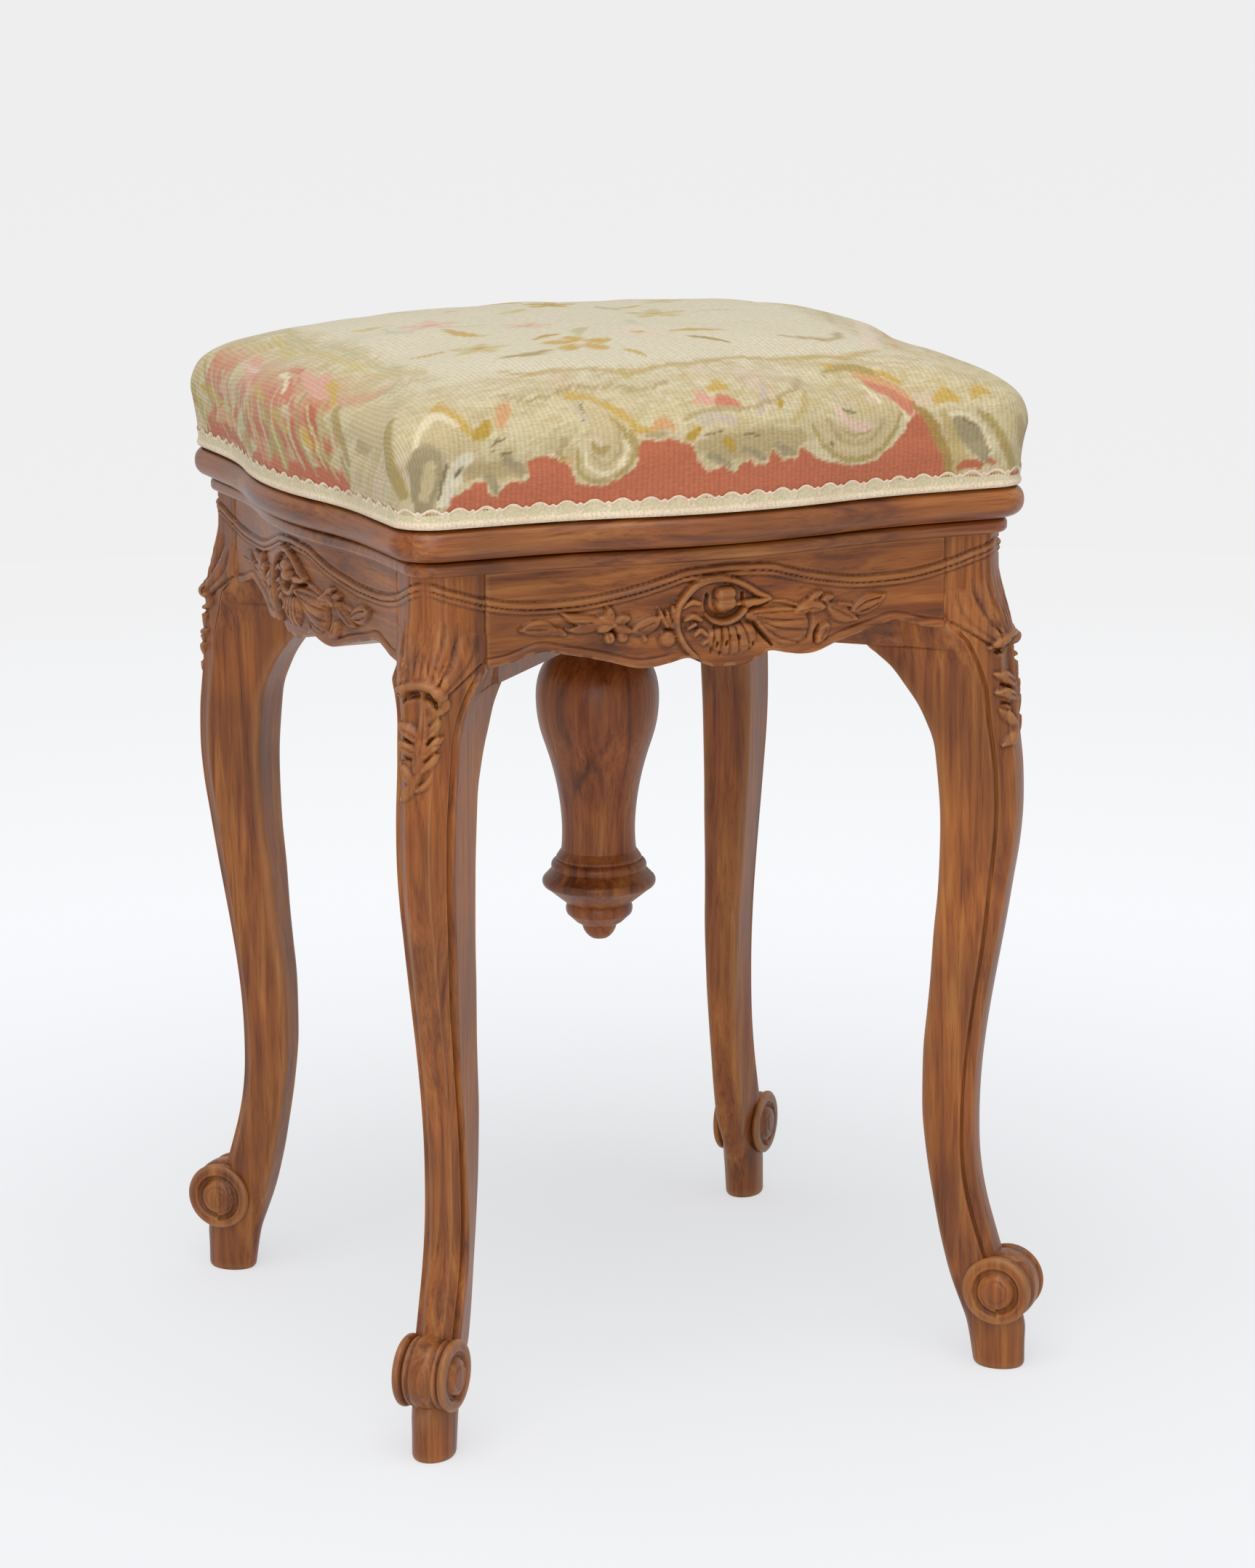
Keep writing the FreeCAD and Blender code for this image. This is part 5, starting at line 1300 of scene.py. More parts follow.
# Strokes of each dye: points are (along the side, height, half width)
WIDE_SIDE = (
    ("stone", ((-152, 511, 9), (-144, 508, 8), (-136, 500, 7))),
    ("moss", ((-162, 482, 9), (-160, 491, 10.5), (-158, 499, 9))),
    ("pale", ((-165, 503, 1.0), (-157, 514, 1.2), (-147, 519, 1.2), (-140, 515, 1.0))),
    ("gold", ((-168, 500, 1.2), (-160, 516, 1.5), (-149, 522.5, 1.7), (-141, 521, 1.9),
              (-136, 514.5, 2.0), (-131, 510, 1.5))),
    ("stone", ((-158, 482, 2.0), (-156, 491, 3.0), (-156, 498, 2.4))),
    ("dark", ((-151.6, 478, 0.8), (-150, 489, 0.9), (-147, 498, 0.8))),
    ("bone", ((-149, 479, 1.6), (-146, 487, 3.6), (-142, 494, 5.0), (-137, 499, 4.0))),
    ("pale", ((-151, 479, 0.7), (-148, 490, 0.7), (-144, 499, 0.6))),
    ("dark", ((-143, 492.4, 0.9), (-140.6, 495, 1.3))),
    ("shade", ((-136, 492, 3.4), (-130, 494, 4.2), (-122, 493, 4.0), (-112, 493, 4.0))),
    ("moss", ((-125, 490, 2.4), (-122, 483, 1.8))),
    ("moss", ((-117, 498, 2.2), (-109, 492, 2.6))),
    ("dark", ((-124, 502, 0.7), (-122.6, 506.4, 0.7), (-117, 508, 0.6))),
    ("dark", ((-121, 501, 0.5), (-114, 501.6, 0.5))),
    ("ochre", ((-132, 509, 1.6), (-127, 512, 3.2), (-123, 516, 1.4))),
    ("orange", ((-118, 514, 1.6), (-114, 519, 3.0), (-110, 523, 1.4))),
    ("stone", ((-97, 489.6, 0.9), (-93, 494, 1.7), (-91, 498, 1.8))),
    ("ochre", ((-91, 487, 1.0), (-89.6, 492, 1.9), (-88, 497.6, 1.1))),
    ("orange", ((-87, 486.6, 0.9), (-85.4, 492, 1.5), (-85, 496, 0.9))),
    ("shade", ((-90, 500, 2.0), (-87, 505, 2.0))),
    ("stone", ((-75, 490, 6.0), (-66, 490, 7.0), (-60, 498, 7.0), (-62, 508, 7.0),
               (-70, 514, 5.0))),
    ("olive", ((-80.6, 500, 1.0), (-80, 490, 1.1), (-74, 485, 1.2), (-66, 485, 1.3),
               (-58, 490, 1.4), (-53.4, 499, 1.4), (-54, 508, 1.2))),
    ("pale", ((-77, 499, 0.8), (-75, 492, 0.9), (-70, 489, 1.0), (-63, 490.5, 1.0),
              (-57.5, 498, 1.0), (-57, 507, 0.9))),
    ("shade", ((-74, 498, 0.8), (-70, 493, 0.9), (-64, 494.6, 0.9), (-60.4, 501, 0.9),
               (-61, 508, 0.8))),
    ("olive", ((-73, 503, 1.6), (-70, 499, 2.4), (-66.6, 501, 1.6))),
    ("dark", ((-77, 514, 0.6), (-74, 517, 0.6), (-73, 520, 0.6))),
    ("lilac", ((-77, 519, 1.0), (-74.6, 514.4, 1.4))),
    ("gold", ((-78, 523.5, 1.0), (-68, 522.6, 1.5), (-60, 518.8, 2.0), (-55, 513.6, 1.8),
              (-50, 509, 1.7), (-43, 507.6, 1.5))),
    ("olive", ((-62, 515, 1.0), (-58, 508, 1.4), (-54.6, 503, 1.0))),
    ("orange", ((-43, 509.6, 1.6), (-38, 511.4, 3.0), (-34, 509.6, 1.8))),
    ("shade", ((-47, 505.8, 1.3), (-38, 505.9, 1.5))),
    ("ochre", ((-29, 502.4, 1.1), (-25, 504.8, 2.3), (-20.6, 508.4, 1.3))),
    ("stone", ((-31, 492.8, 0.8), (-27, 497, 1.6), (-21, 500, 2.4))),
    ("shade", ((-20, 500, 3.0), (-10, 499, 6.0), (0, 499, 6.6), (12, 500, 6.6), (24, 499, 6.6),
               (33, 501, 4.0))),
    ("moss", ((-16, 494.4, 1.6), (-10, 492.4, 2.0), (-5, 489.6, 1.4))),
    ("moss", ((2, 497, 1.4), (8, 494.6, 2.0), (13, 491.4, 1.4))),
    ("moss", ((20, 498, 1.4), (26, 494, 2.2), (30, 493, 1.3))),
    ("ochre", ((-9, 501.6, 1.4), (-5.6, 500.6, 2.3), (-4, 497.4, 1.2))),
    ("dark", ((-18, 505, 0.5), (-10, 506.4, 0.5))),
    ("dark", ((2, 504.4, 0.5), (10, 503, 0.5))),
    ("lilac", ((-20, 512, 1.8), (-11, 513, 2.6), (-2, 511, 2.0))),
    ("rose", ((-18, 519.5, 1.2), (-13.6, 521, 2.6), (-9, 519.4, 1.8))),
    ("salmon", ((-7.6, 517.6, 1.5), (-3, 519.4, 2.9), (2.6, 517.2, 1.5))),
    ("gold", ((-7, 524.2, 1.2), (-2.4, 525, 2.0), (2, 524.8, 1.2))),
    ("ochre", ((25, 516.4, 1.3), (27, 518, 1.1))),
    ("lilac", ((12, 514, 1.4), (18, 519, 2.0), (22, 524, 1.2))),
    ("stone", ((47, 504, 5.0), (56, 497, 8.0), (66, 495, 8.6), (77, 498, 8.6), (84, 507, 7.0))),
    ("olive", ((41, 506, 0.9), (47, 494.6, 1.1), (57, 488.4, 1.4), (68, 486.6, 1.5),
               (78, 489, 1.5), (87, 497, 1.3), (92, 507, 1.0))),
    ("shade", ((50, 508, 1.0), (56, 498.6, 1.3), (66, 494, 1.3), (76, 497, 1.3),
               (82.6, 505, 1.1))),
    ("blush", ((56, 511, 1.8), (64, 504, 2.5), (74, 502, 2.2))),
    ("olive", ((58, 501, 0.7), (66, 499, 0.8), (74, 500, 0.7))),
    ("dark", ((59.6, 511.4, 0.6), (66, 509.6, 0.8))),
    ("dark", ((51, 496, 0.9), (51.8, 494.8, 0.9))),
    ("pale", ((94.6, 508, 1.6), (97.6, 501, 1.5), (99.6, 494.4, 0.8))),
    ("salmon", ((82, 521.4, 1.8), (90, 517, 3.0), (97, 511, 3.6), (101, 505, 3.0))),
    ("orange", ((78, 524, 1.1), (90, 521.4, 1.8), (99, 514.4, 1.5))),
    ("gold", ((66, 528.5, 1.0), (80, 527, 1.2), (92, 524.4, 1.2), (99, 520, 1.0))),
    ("pale", ((78.6, 519, 1.0), (82.6, 513.4, 1.0))),
    ("wedge", ((101, 511, 1.4), (108, 503.4, 2.4), (113, 495, 2.6), (117, 486, 2.8),
               (119.4, 476, 2.6))),
    ("leaf", ((116, 506, 2.0), (121, 496, 3.6), (124, 486, 4.0), (126, 478, 3.0))),
    ("moss", ((123, 502, 2.0), (130, 496, 5.6), (137, 488, 5.0), (140, 481, 2.0))),
    ("pale", ((119, 505.6, 0.8), (130, 504.4, 1.0), (139, 495, 1.0), (142.6, 484, 0.8))),
    ("dark", ((127, 503, 0.6), (133, 498.6, 0.7))),
    ("coral", ((125, 478, 1.5), (131, 480, 2.2), (137, 478, 1.6))),
    ("coral", ((141, 481.6, 1.0), (144, 479.6, 1.2))),
    ("gold", ((113, 512, 1.6), (119, 514.4, 3.2), (124.6, 512.4, 1.6))),
    ("gold", ((133, 513, 1.4), (138, 515.4, 2.6), (142.6, 514, 1.2))),
    ("olive", ((136, 506, 1.4), (144, 498, 2.0), (150, 488, 2.4), (156, 478, 2.6))),
    ("shade", ((158, 500, 3.0), (163, 488, 4.0))),
    ("shade", ((-112, 526, 0.8), (-92, 523.4, 0.9), (-70, 527, 0.8), (-40, 525, 0.7),
               (-24, 528, 0.6))),
    ("shade", ((-28, 513, 0.8), (-14, 516.4, 0.9), (8, 516, 0.9), (30, 520, 0.8), (48, 524, 0.8))),
    ("leaf", ((30, 508, 1.0), (38, 514, 1.6), (44, 520, 1.0))),
)
DEEP_SIDE = (
    ("moss", ((-168, 481, 4), (-167, 497, 4.6))),
    ("olive", ((-158, 484, 3.6), (-152, 497, 5.6), (-145, 507, 5.0), (-138, 514, 3.0))),
    ("shade", ((-122, 503, 4), (-108, 500, 4))),
    ("stone", ((-128, 509, 8), (-112, 511, 8), (-98, 512, 6))),
    ("olive", ((-96, 491, 2.6), (-88, 499, 3.6), (-80, 506, 3.4), (-72, 513, 2.4))),
    ("olive", ((-94, 483, 2.2), (-86, 490, 2.6))),
    ("coral", ((-90, 478, 3.6), (-74, 480, 5.4), (-58, 479, 4.6), (-40, 480, 4.6),
               (-28, 479, 3.0))),
    ("coral", ((-70, 485, 4), (-64, 492, 4.4), (-58, 500, 5.0), (-52, 507, 4.4), (-47, 511, 2.0))),
    ("coral", ((-48, 486, 5), (-40, 492, 6.0), (-34, 498, 4.6), (-35, 502, 2))),
    ("olive", ((-75, 490, 1.6), (-66, 491.6, 2.4), (-60, 489, 1.4))),
    ("gold", ((-57, 493, 1.8), (-51, 497, 2.8), (-47, 500.6, 1.4))),
    ("leaf", ((-72, 499, 1.4), (-66, 506, 2.0), (-58, 512, 1.4))),
    ("olive", ((-25, 480, 3.4), (-17, 489, 5.4), (-9, 492, 4.6), (-3, 484, 4.4))),
    ("gold", ((-30, 498, 1.6), (-16, 503, 2.2), (-4, 507, 1.4))),
    ("leaf", ((-6, 496, 2.0), (2, 501, 2.4), (14, 504, 1.6))),
    ("salmon", ((3, 478, 3.0), (11, 483, 5.0), (19, 488, 5.0), (25, 492, 2.4))),
    ("coral", ((4, 477, 1.8), (17, 479, 2.8), (29, 478, 1.8))),
    ("olive", ((34, 480, 2.6), (40, 489, 3.6), (36, 497, 2.4))),
    ("soft_olive", ((43, 490, 2.4), (48, 492.4, 3.0), (54, 491.6, 1.6))),
    ("leaf", ((48, 480, 2.0), (54, 485, 2.4))),
    ("coral", ((58, 478, 2.8), (72, 480, 4.0), (88, 482, 4.6), (104, 481, 5.0), (121, 479, 3.4))),
    ("orange", ((64, 489, 2.6), (84, 489, 3.4), (102, 490, 3.4), (113, 486, 2.0))),
    ("gold", ((70, 495, 1.0), (88, 496.6, 1.4), (108, 496, 1.2))),
    ("salmon", ((-34, 509, 1.4), (-24, 513, 2.6), (-12, 516.4, 2.4), (-1, 519.8, 1.3))),
    ("salmon", ((-18, 509.6, 1.3), (-6, 512.4, 2.5), (5, 514.8, 1.6))),
    ("salmon", ((-16, 520, 0.8), (-4, 523.4, 1.1), (12, 523.4, 0.8))),
    ("rose", ((-52, 517, 1.2), (-40, 521, 1.8), (-26, 524.5, 1.2))),
    ("rose", ((35, 510, 1.4), (52, 514, 2.2), (72, 517, 2.6), (89, 520, 1.5))),
    ("rose", ((80, 500, 2.4), (94, 504, 3.6), (107, 503, 2.2))),
    ("gold", ((-68, 514, 0.9), (-53, 518.8, 1.1), (-38, 522.6, 0.9))),
    ("pale", ((-12, 515, 0.9), (0, 519.6, 1.2), (15, 521, 0.9))),
    ("gold", ((6, 507, 1.3), (20, 511, 2.0), (31, 513, 1.3))),
    ("gold", ((112, 494, 2.4), (124, 498, 3.6), (139, 499, 2.4))),
    ("soft_gold", ((40, 523, 1.2), (60, 525, 1.5), (84, 526, 1.3), (110, 524, 1.0))),
    ("olive", ((132, 482, 2.4), (140, 489, 2.8), (150, 492, 2.0))),
    ("shade", ((146, 500, 3.0), (160, 490, 5.0))),
)
TOP = (
    ("leaf", ((-100, -118, 1.3), (-92, -128, 2.2), (-78, -126, 2.2), (-60, -127, 2.2),
              (-40, -133, 2.4), (-15, -131, 2.0), (5, -130, 2.2), (20, -126, 1.8), (40, -127, 1.6),
              (60, -128, 2.2), (84, -129, 2.4), (104, -120, 2.0))),
    ("olive", ((62, -143, 1.4), (76, -140, 2.2), (88, -145, 1.6))),
    ("soft_gold", ((-128, -94, 1.2), (-140, -52, 2.2), (-146, 0, 2.6), (-147, 50, 3.0),
                   (-140, 100, 1.6))),
    ("soft_olive", ((-132, -66, 2.4), (-136, -34, 2.2), (-138, 10, 2.0), (-140, 50, 2.8),
                    (-136, 84, 2.8), (-130, 112, 2.2), (-122, 142, 2.0))),
    ("rose", ((-168, -54, 2.6), (-165, -30, 3.4), (-162, -8, 2.2))),
    ("blush", ((-167, 56, 4), (-165, 92, 5))),
    ("peach", ((100, -118, 4), (118, -80, 5), (136, -40, 5), (152, 5, 5))),
    ("orange", ((114, -118, 0.8), (128, -85, 1.1), (145, -45, 1.1), (160, -5, 1.0))),
    ("soft_olive", ((106, -64, 1.6), (122, -24, 3.0), (138, 22, 3.0), (150, 70, 3.0),
                    (156, 112, 2.4))),
    ("blush", ((-48, 150, 2.8), (-34, 156, 5.0), (-20, 160, 2.8))),
    ("soft_gold", ((-112, 160, 3.6), (-80, 165, 4.0), (-40, 166, 4.0), (20, 165, 3.4),
                   (62, 164, 3.0))),
    ("soft_olive", ((38, 150, 2.2), (90, 152, 3.0), (132, 149, 3.0), (140, 118, 2.6))),
    ("leaf", ((-100, 130, 1.3), (-62, 138, 2.2), (0, 132, 2.0), (60, 138, 2.2), (96, 128, 1.3))),
    ("shade", ((60, -94, 1.4), (84, -106, 3.0), (96, -92, 2.2))),
)

# Bouquet on the top. Leaves: x, y, direction, length, dye. Blossoms: x, y, size, petals, heart.
LEAVES = (
    (-74, -36, 110, 34, "gold"), (-62, -90, 195, 32, "olive"), (-26, -98, 285, 18, "gold"),
    (-34, -60, 55, 28, "soft_olive"), (8, -44, 80, 28, "sage"), (12, -66, 345, 30, "gold"),
    (-100, -6, 100, 34, "sage"), (26, 20, 100, 30, "soft_olive"), (52, -8, 345, 28, "sage"),
    (-6, 84, 95, 38, "gold"), (-18, 52, 220, 26, "soft_gold"), (16, 88, 40, 24, "sage"),
    (-66, 76, 130, 24, "sage"), (72, 64, 50, 22, "soft_olive"), (-100, 34, 140, 22, "soft_gold"),
    (-60, -4, 170, 20, "sage"), (16, -82, 310, 24, "olive"), (-58, -62, 30, 20, "ochre"),
    (-104, -60, 160, 20, "gold"), (44, 40, 200, 22, "gold"),
)
BLOSSOMS = (
    (-86, 14, 17, "blush", "rose"), (-92, -70, 15, "soft_gold", "ochre"),
    (-42, -80, 19, "gold", "peach"), (-2, -62, 15, "peach", "gold"),
    (34, -2, 17, "soft_gold", "gold"), (-44, -16, 13, "blush", "gold"),
    (2, 66, 15, "gold", "ochre"), (-56, 62, 12, "peach", "rose"), (62, 52, 12, "soft_gold", "gold"),
)


def bouquet():
    """Strokes of the leaves, and over them the blossoms with five petals and a heart."""
    strokes = []
    for x, y, direction, length, dye in LEAVES:
        over = math.cos(math.radians(direction)) * length
        up = math.sin(math.radians(direction)) * length
        belly = (x + 0.45 * over - 0.1 * up, y + 0.45 * up + 0.1 * over, 0.13 * length)
        strokes.append((dye, ((x, y, 0.7), belly, (x + over, y + up, 0.6))))
    for x, y, size, petals, heart in BLOSSOMS:
        for number in range(5):
            angle = 2 * math.pi * (number + 0.06 * size) / 5
            over = math.cos(angle) * size
            up = math.sin(angle) * size
            strokes.append((petals, ((x + 0.2 * over, y + 0.2 * up, 0.1 * size),
                                     (x + 0.6 * over, y + 0.6 * up, 0.27 * size),
                                     (x + 0.9 * over, y + 0.9 * up, 0.12 * size))))
        strokes.append((heart, ((x - 0.1 * size, y, 0.16 * size), (x + 0.1 * size, y, 0.16 * size))))
    return strokes


def dyed(name):
    """Linear colour of a dye."""
    return np.array(linear(DYES[name])[:3])


def lay(colours, name, share):
    """Colours with a share of a dye laid over them."""
    share = share[:, None]
    return colours * (1 - share) + dyed(name) * share


def paint(colours, where, across, up, strokes):
    """Lay strokes of dyed weft over the colours of the places asked for, in their order."""
    near = np.flatnonzero(where)
    x = across[near] + 0.7 * noise(across[near], up[near], 3.0, 21)
    z = up[near] + 0.9 * noise(across[near], up[near], 2.2, 22)
    for name, points in strokes:
        cover = np.clip((1.2 - nearness(x, z, points)) / 0.4, 0, 1)
        colours[near] = lay(colours[near], name, cover)


def paint_cover(piece, x, y, z):
    """Draw the tapestry into a colour attribute: a pale field on top, coral ground below."""
    # Shading between the scrolls: patches, and fine lines that curl like their outlines
    slant = 1.4 * z + 0.6 * y
    bend_x = 9 * noise(x + y, slant, 26.0, 31)
    bend_z = 9 * noise(x + y, slant, 26.0, 32)
    patch = noise(x + bend_x, slant + y + bend_z, 13.0, 33)
    curl = noise(x - bend_z + 0.5 * y, slant + bend_x, 15.0, 34)
    warm = noise(x + bend_z, slant - bend_x, 24.0, 35)
    dabs = noise(0.7 * x + 0.5 * bend_x, 0.8 * (slant + y) + 0.5 * bend_z, 4.6, 37)
    border = np.clip((np.maximum(np.abs(x + 12) / 118, np.abs(y) / 128) - 0.94) / 0.10, 0.12, 1)
    colours = lay(dyed("bone"), "cream", np.clip((534 - z) / 14, 0, 1))
    for name, share in (("soft_olive", 0.6 * np.clip(0.3 + 1.1 * patch, 0, 1)),
                        ("stone", 0.6 * np.clip(-1.6 * patch - 0.1, 0, 1)),
                        ("blush", 0.5 * np.clip(2.2 * warm - 0.8, 0, 1)),
                        ("leaf", 0.5 * peak(curl, 0.1)),
                        ("moss", 0.35 * peak(curl - 0.32, 0.05)),
                        ("leaf", 0.55 * np.clip(2.4 * dabs - 0.35, 0, 1)),
                        ("shade", 0.4 * np.clip(-2.4 * dabs - 0.5, 0, 1))):
        colours = lay(colours, name, share * border)
    # Wide sides: strokes, then the coral ground with its pale ragged edge, then what lies on it
    wide = (np.abs(y) > np.abs(x)) & (z < SIDE_TOP)
    edge = np.array(CORAL_EDGE)
    ragged_x = x + 0.8 * noise(x, z, 2.4, 41)
    above = z + 0.8 * noise(x, z, 2.0, 42) - np.interp(ragged_x, edge[:, 0], edge[:, 1])
    paint(colours, wide, x, z, WIDE_SIDE)
    colours = lay(colours, "pale", peak(above - 0.4, 1.1) * wide * 0.6 * (z > CORAL_FOOT))
    colours = lay(colours, "coral", np.clip(0.5 - above, 0, 1) * wide)
    paint(colours, wide, x, z, [stroke for stroke in WIDE_SIDE if stroke[0] in ("coral", "wedge")])
    # Deep sides: flames of coral under strokes and slanting strands
    deep = (np.abs(x) >= np.abs(y)) & (z < SIDE_TOP)
    flame = np.clip(0.55 + 1.3 * noise(y + 0.9 * z, z, 15.0, 36), 0, 1)
    flame = flame * deep * (np.abs(y - FLAME_MIDDLE) < FLAME_REACH)
    for name, top in (("salmon", 526), ("coral", 506)):
        colours = lay(colours, name, flame * np.clip((top - z) / 12, 0, 1) * 0.85)
    paint(colours, deep, y, z, DEEP_SIDE)
    for number, start in enumerate(range(-82, 152, 11)):
        name = ("soft_olive", "leaf", "soft_gold", "olive")[number % 4]
        lean = 3 * math.sin(number * 2.3)
        strand = ((start + 15, 515 + lean, 0.6), (start + 4 + lean, 498, 1.7),
                  (start - 9, 481 - lean, 0.7))
        paint(colours, deep, y, z, [(name, strand)])
    on_top = z > TOP_EDGE
    paint(colours, on_top, x, y, TOP)
    paint(colours, on_top, x, y, bouquet())
    store = piece.data.color_attributes.new("weft", "FLOAT_COLOR", "POINT")
    with_alpha = np.column_stack([np.clip(colours, 0, 1), np.ones(len(x))])
    store.data.foreach_set("color", with_alpha.astype(np.float32).ravel())


# Braid

BRAID_LOW = SEAT_TOP + 0.35
BRAID_GAP = 0.35
BRAID_CORNER = 18.8
SCALLOPS = 96
SCALLOP_LENGTH = 13.5
COLUMNS_TO_A_SCALLOP = 24
RIBS_TO_A_SCALLOP = 6
THREADS_TO_A_SCALLOP = 8


def build_braid(look):
    """Gimp: a ribbed cord below, and above it a woven ground edged by a cord in scallops."""
    face_rows, back_rows = 17, 4
    rows = face_rows + back_rows
    piece, u, v = start_grid("scalloped_gimp", SCALLOPS * COLUMNS_TO_A_SCALLOP, rows)
    row = np.rint(v * rows)
    phase = (u * SCALLOPS) % 1.0
    # Distance from the middle of a scallop; the edge is an arch with a dip between two
    off = np.abs(phase - 0.5) * SCALLOP_LENGTH
    between = off - SCALLOP_LENGTH / 2
    arch_half = 5.2
    arch = 9.7 - 2.6 * (off / arch_half) ** 2
    dip = 7.6 + 0.8 * hump(between, 1.2)
    top = np.maximum(np.where(off < arch_half, arch, 0), dip) + 0.5
    up = np.clip(row / face_rows, 0, 1) * top
    band = hump(up - 1.8, 1.9) ** 0.5
    ribs = 0.5 + 0.5 * np.cos(2 * math.pi * u * SCALLOPS * RIBS_TO_A_SCALLOP)
    from_arch = np.where(off < arch_half + 0.4, np.abs(up - arch), np.abs(up - dip))
    cord = hump(from_arch, 1.0) ** 0.5
    loop = hump(np.hypot(between, up - 5.4) - 1.5, 0.7) ** 0.5
    threads = 0.5 + 0.5 * np.cos(2 * math.pi * u * SCALLOPS * THREADS_TO_A_SCALLOP)
    thick = np.maximum(0.55 + 0.12 * threads, band * (1.15 + 0.25 * ribs))
    thick = np.maximum(thick, np.maximum(1.35 * cord, 0.95 * loop))
    behind = row > face_rows
    out = np.where(behind, BRAID_GAP * 0.5, BRAID_GAP + thick)
    height = np.where(behind, top * (1 - (row - face_rows) / back_rows), up)
    wobble = 0.25 * noise(u * 1400, u * 0, 60.0, 51)
    x, y = ring_places(u * 4, COVER_HALF + out, SEAT_BOW, BRAID_CORNER + out)
    set_points(piece, x, y, BRAID_LOW + height + wobble * (height > 1))
    worked = np.clip(np.maximum(np.maximum(band * (0.55 + 0.45 * ribs), cord), 0.6 * loop), 0, 1)
    store = piece.data.attributes.new("cord", "FLOAT", "POINT")
    store.data.foreach_set("value", worked.astype(np.float32))
    close_up(piece, cap=False)
    smooth(piece, 70)
    mark_hollows(piece)
    piece.data.materials.append(braid_cord(look.braid_ground, look.braid_cord))
    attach(piece, "seat")
    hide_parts("gimp_braid")


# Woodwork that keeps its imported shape


def finish_woodwork(look):
    """Walnut on every wooden node, with the grain along each piece; the pendant and the side rails
    are tinted darker, as painted shade.
    """
    # The pendant's walnut gets a darker tint: painted shade under the seat
    turned = walnut("waxed_walnut_turned_painted_shade", UPRIGHT, (0.31, 0.12, 0.05), look.pendant_painted_shade)
    wide = walnut("waxed_walnut_wide", WIDE, (0.07, 0.23, 0.4), look.carved_wood, 0.3)
    # The left and right rails get a darker tint than the front and back: painted shade
    deep = walnut("waxed_walnut_deep_painted_shade", DEEP, (0.19, 0.02, 0.3), look.side_rails_painted_shade, 0.15)
    dress(["seat_rail_front", "seat_rail_back", "base_top"], wide)
    dress(["seat_rail_left", "seat_rail_right"], deep)
    dress(["pendant_vase", "pendant_finial"], turned)
    dress(["brace_lower", "brace_upper"], wide)


def finish_works():
    """Plain finishes for the parts inside."""
    dress(["mitre_splines", "cross_rail"], plain_wood("bare_beech", WIDE))
    iron = metal("oiled_iron", "#3A3531", "#5A534B", 0.45, 9.0)
    dress(["screw_nut", "screw_spindle", "end_stud", "screw_flange", "stop_washer", "cotter_pin"],
          iron)
    steel = metal("dull_steel", "#7C7872", "#9B968E", 0.4, 4.0)
    dress(["brace_screws", "nut_screws", "pendant_screws", "flange_screws", "cover_tacks"], steel)
    webbing = plain_weave("jute_webbing", "#7A5F3C", "#B39466", 2.4)
    dress(["webbing_lengthwise", "webbing_crosswise"], webbing)
    dress(["hessian"], plain_weave("jute_hessian", "#8A6E48", "#C0A274", 1.6))


# Parts of the add-on


def tint(name, description, colour):
    """A colour that a user may change, with its default as hex."""
    return FloatVectorProperty(name=name, description=description, subtype="COLOR", size=4,
                               min=0.0, max=1.0, default=linear(colour))


class StoolLook(bpy.types.PropertyGroup):
    """Sizes and colours that a user would change."""

    carved_wood: tint("Carved wood", "Tint of the walnut of legs, aprons and board", "#FFFFFF")
    # Darker tint of the pendant: painted shade under the seat
    pendant_painted_shade: tint("Turned wood", "Tint of the walnut of the pendant", "#F0E4DC")
    # Darker tint of the left and right rails: painted shade on those sides
    side_rails_painted_shade: tint("Side rails", "Tint of the walnut of the left and right rails", "#EFE6DC")
    braid_ground: tint("Braid ground", "Colour of the woven ground of the braid", "#DDD1AC")
    braid_cord: tint("Braid cord", "Colour of the cord in scallops on the braid", "#F6DFC6")
    paper: tint("Paper", "Colour of the studio floor", "#F1F2F4")
    paper_reach: FloatProperty(
        name="Paper reach", description="How far out the floor has melted into the background",
        default=1.0, unit="LENGTH", subtype="DISTANCE")
    ambient: FloatProperty(
        name="Ambient", description="Strength of the light from all round", default=0.5)
    overhead: FloatProperty(
        name="Overhead", description="Power of the lamp above", default=29.0, unit="POWER")
    front: FloatProperty(
        name="Front", description="Power of the lamp in front", default=19.0, unit="POWER")


class STOOL_OT_stage(bpy.types.Operator):
    """Set up the studio floor, lights, background and camera"""

    bl_idname = "stool.stage"
    bl_label = "Studio"

    def execute(self, context):
        build_stage(context.scene.stool_look)
        return {"FINISHED"}


class STOOL_OT_legs(bpy.types.Operator):
    """Carve the four legs with their posts, knees and scroll feet"""

    bl_idname = "stool.legs"
    bl_label = "Legs"

    def execute(self, context):
        build_legs(context.scene.stool_look)
        return {"FINISHED"}


class STOOL_OT_aprons(bpy.types.Operator):
    """Carve the four bowed aprons"""

    bl_idname = "stool.aprons"
    bl_label = "Aprons"

    def execute(self, context):
        build_aprons(context.scene.stool_look)
        return {"FINISHED"}


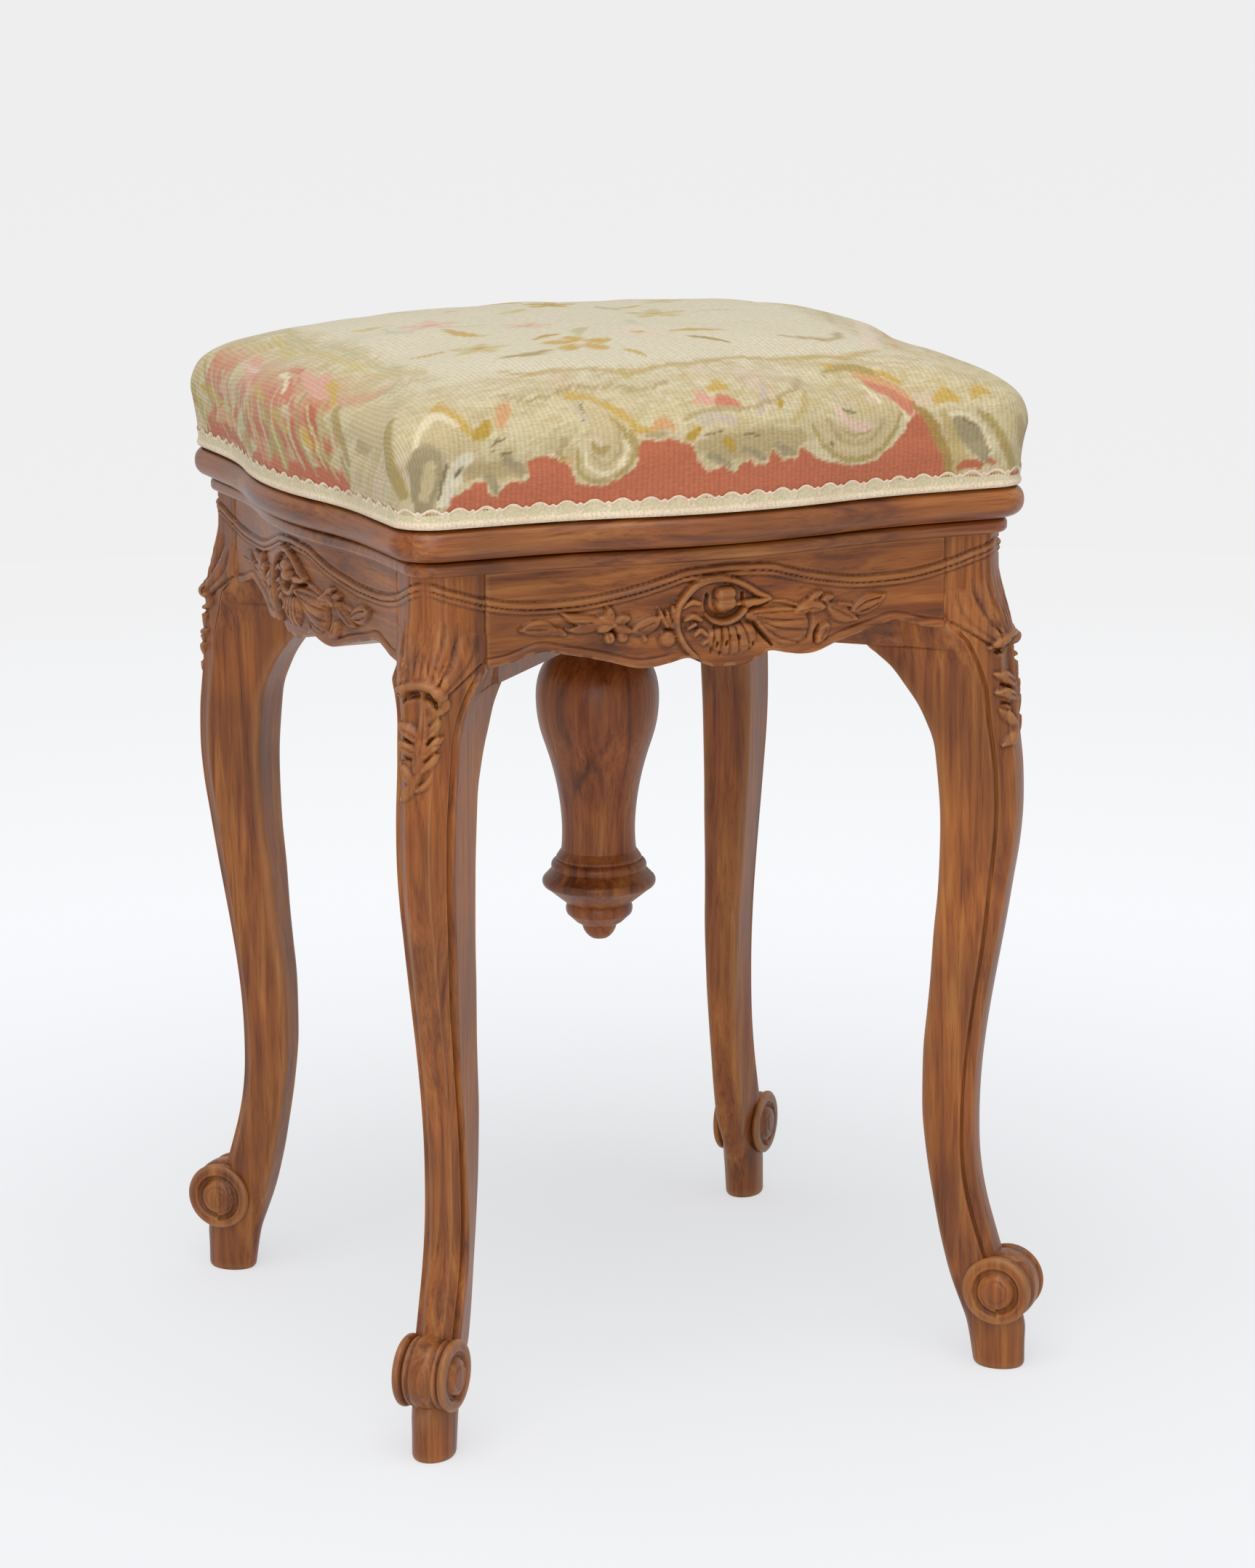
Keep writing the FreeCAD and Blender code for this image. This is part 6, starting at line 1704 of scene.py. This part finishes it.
class STOOL_OT_cushion(bpy.types.Operator):
    """Stuff the cushion, blow it up and draw its tapestry"""

    bl_idname = "stool.cushion"
    bl_label = "Cushion"

    def execute(self, context):
        build_cushion()
        return {"FINISHED"}


class STOOL_OT_braid(bpy.types.Operator):
    """Work the scalloped gimp round the foot of the cushion"""

    bl_idname = "stool.braid"
    bl_label = "Braid"

    def execute(self, context):
        build_braid(context.scene.stool_look)
        return {"FINISHED"}


class STOOL_OT_woodwork(bpy.types.Operator):
    """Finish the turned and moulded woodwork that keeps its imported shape"""

    bl_idname = "stool.woodwork"
    bl_label = "Woodwork"

    def execute(self, context):
        finish_woodwork(context.scene.stool_look)
        return {"FINISHED"}


class STOOL_OT_works(bpy.types.Operator):
    """Finish the screw, nut, braces and the rest that is hidden inside"""

    bl_idname = "stool.works"
    bl_label = "Hidden works"

    def execute(self, context):
        finish_works()
        return {"FINISHED"}


OPERATORS = (STOOL_OT_stage, STOOL_OT_legs, STOOL_OT_aprons, STOOL_OT_cushion,
             STOOL_OT_braid, STOOL_OT_woodwork, STOOL_OT_works)


class STOOL_PT_panel(bpy.types.Panel):
    """Lists the steps that dress the stool"""

    bl_idname = "STOOL_PT_panel"
    bl_label = "Piano Stool"
    bl_space_type = "VIEW_3D"
    bl_region_type = "UI"
    bl_category = "Piano Stool"

    def draw(self, context):
        look = context.scene.stool_look
        for name in look.bl_rna.properties.keys():
            if name not in ("rna_type", "name"):
                self.layout.prop(look, name)
        for operator in OPERATORS:
            self.layout.operator(operator.bl_idname)


def register():
    for operator in OPERATORS:
        bpy.utils.register_class(operator)
    bpy.utils.register_class(StoolLook)
    bpy.utils.register_class(STOOL_PT_panel)
    bpy.types.Scene.stool_look = PointerProperty(type=StoolLook)


def unregister():
    del bpy.types.Scene.stool_look
    bpy.utils.unregister_class(STOOL_PT_panel)
    bpy.utils.unregister_class(StoolLook)
    for operator in reversed(OPERATORS):
        bpy.utils.unregister_class(operator)


def main():
    register()
    for operator in OPERATORS:
        group, name = operator.bl_idname.split(".")
        getattr(getattr(bpy.ops, group), name)()


if __name__ == "__main__":
    main()
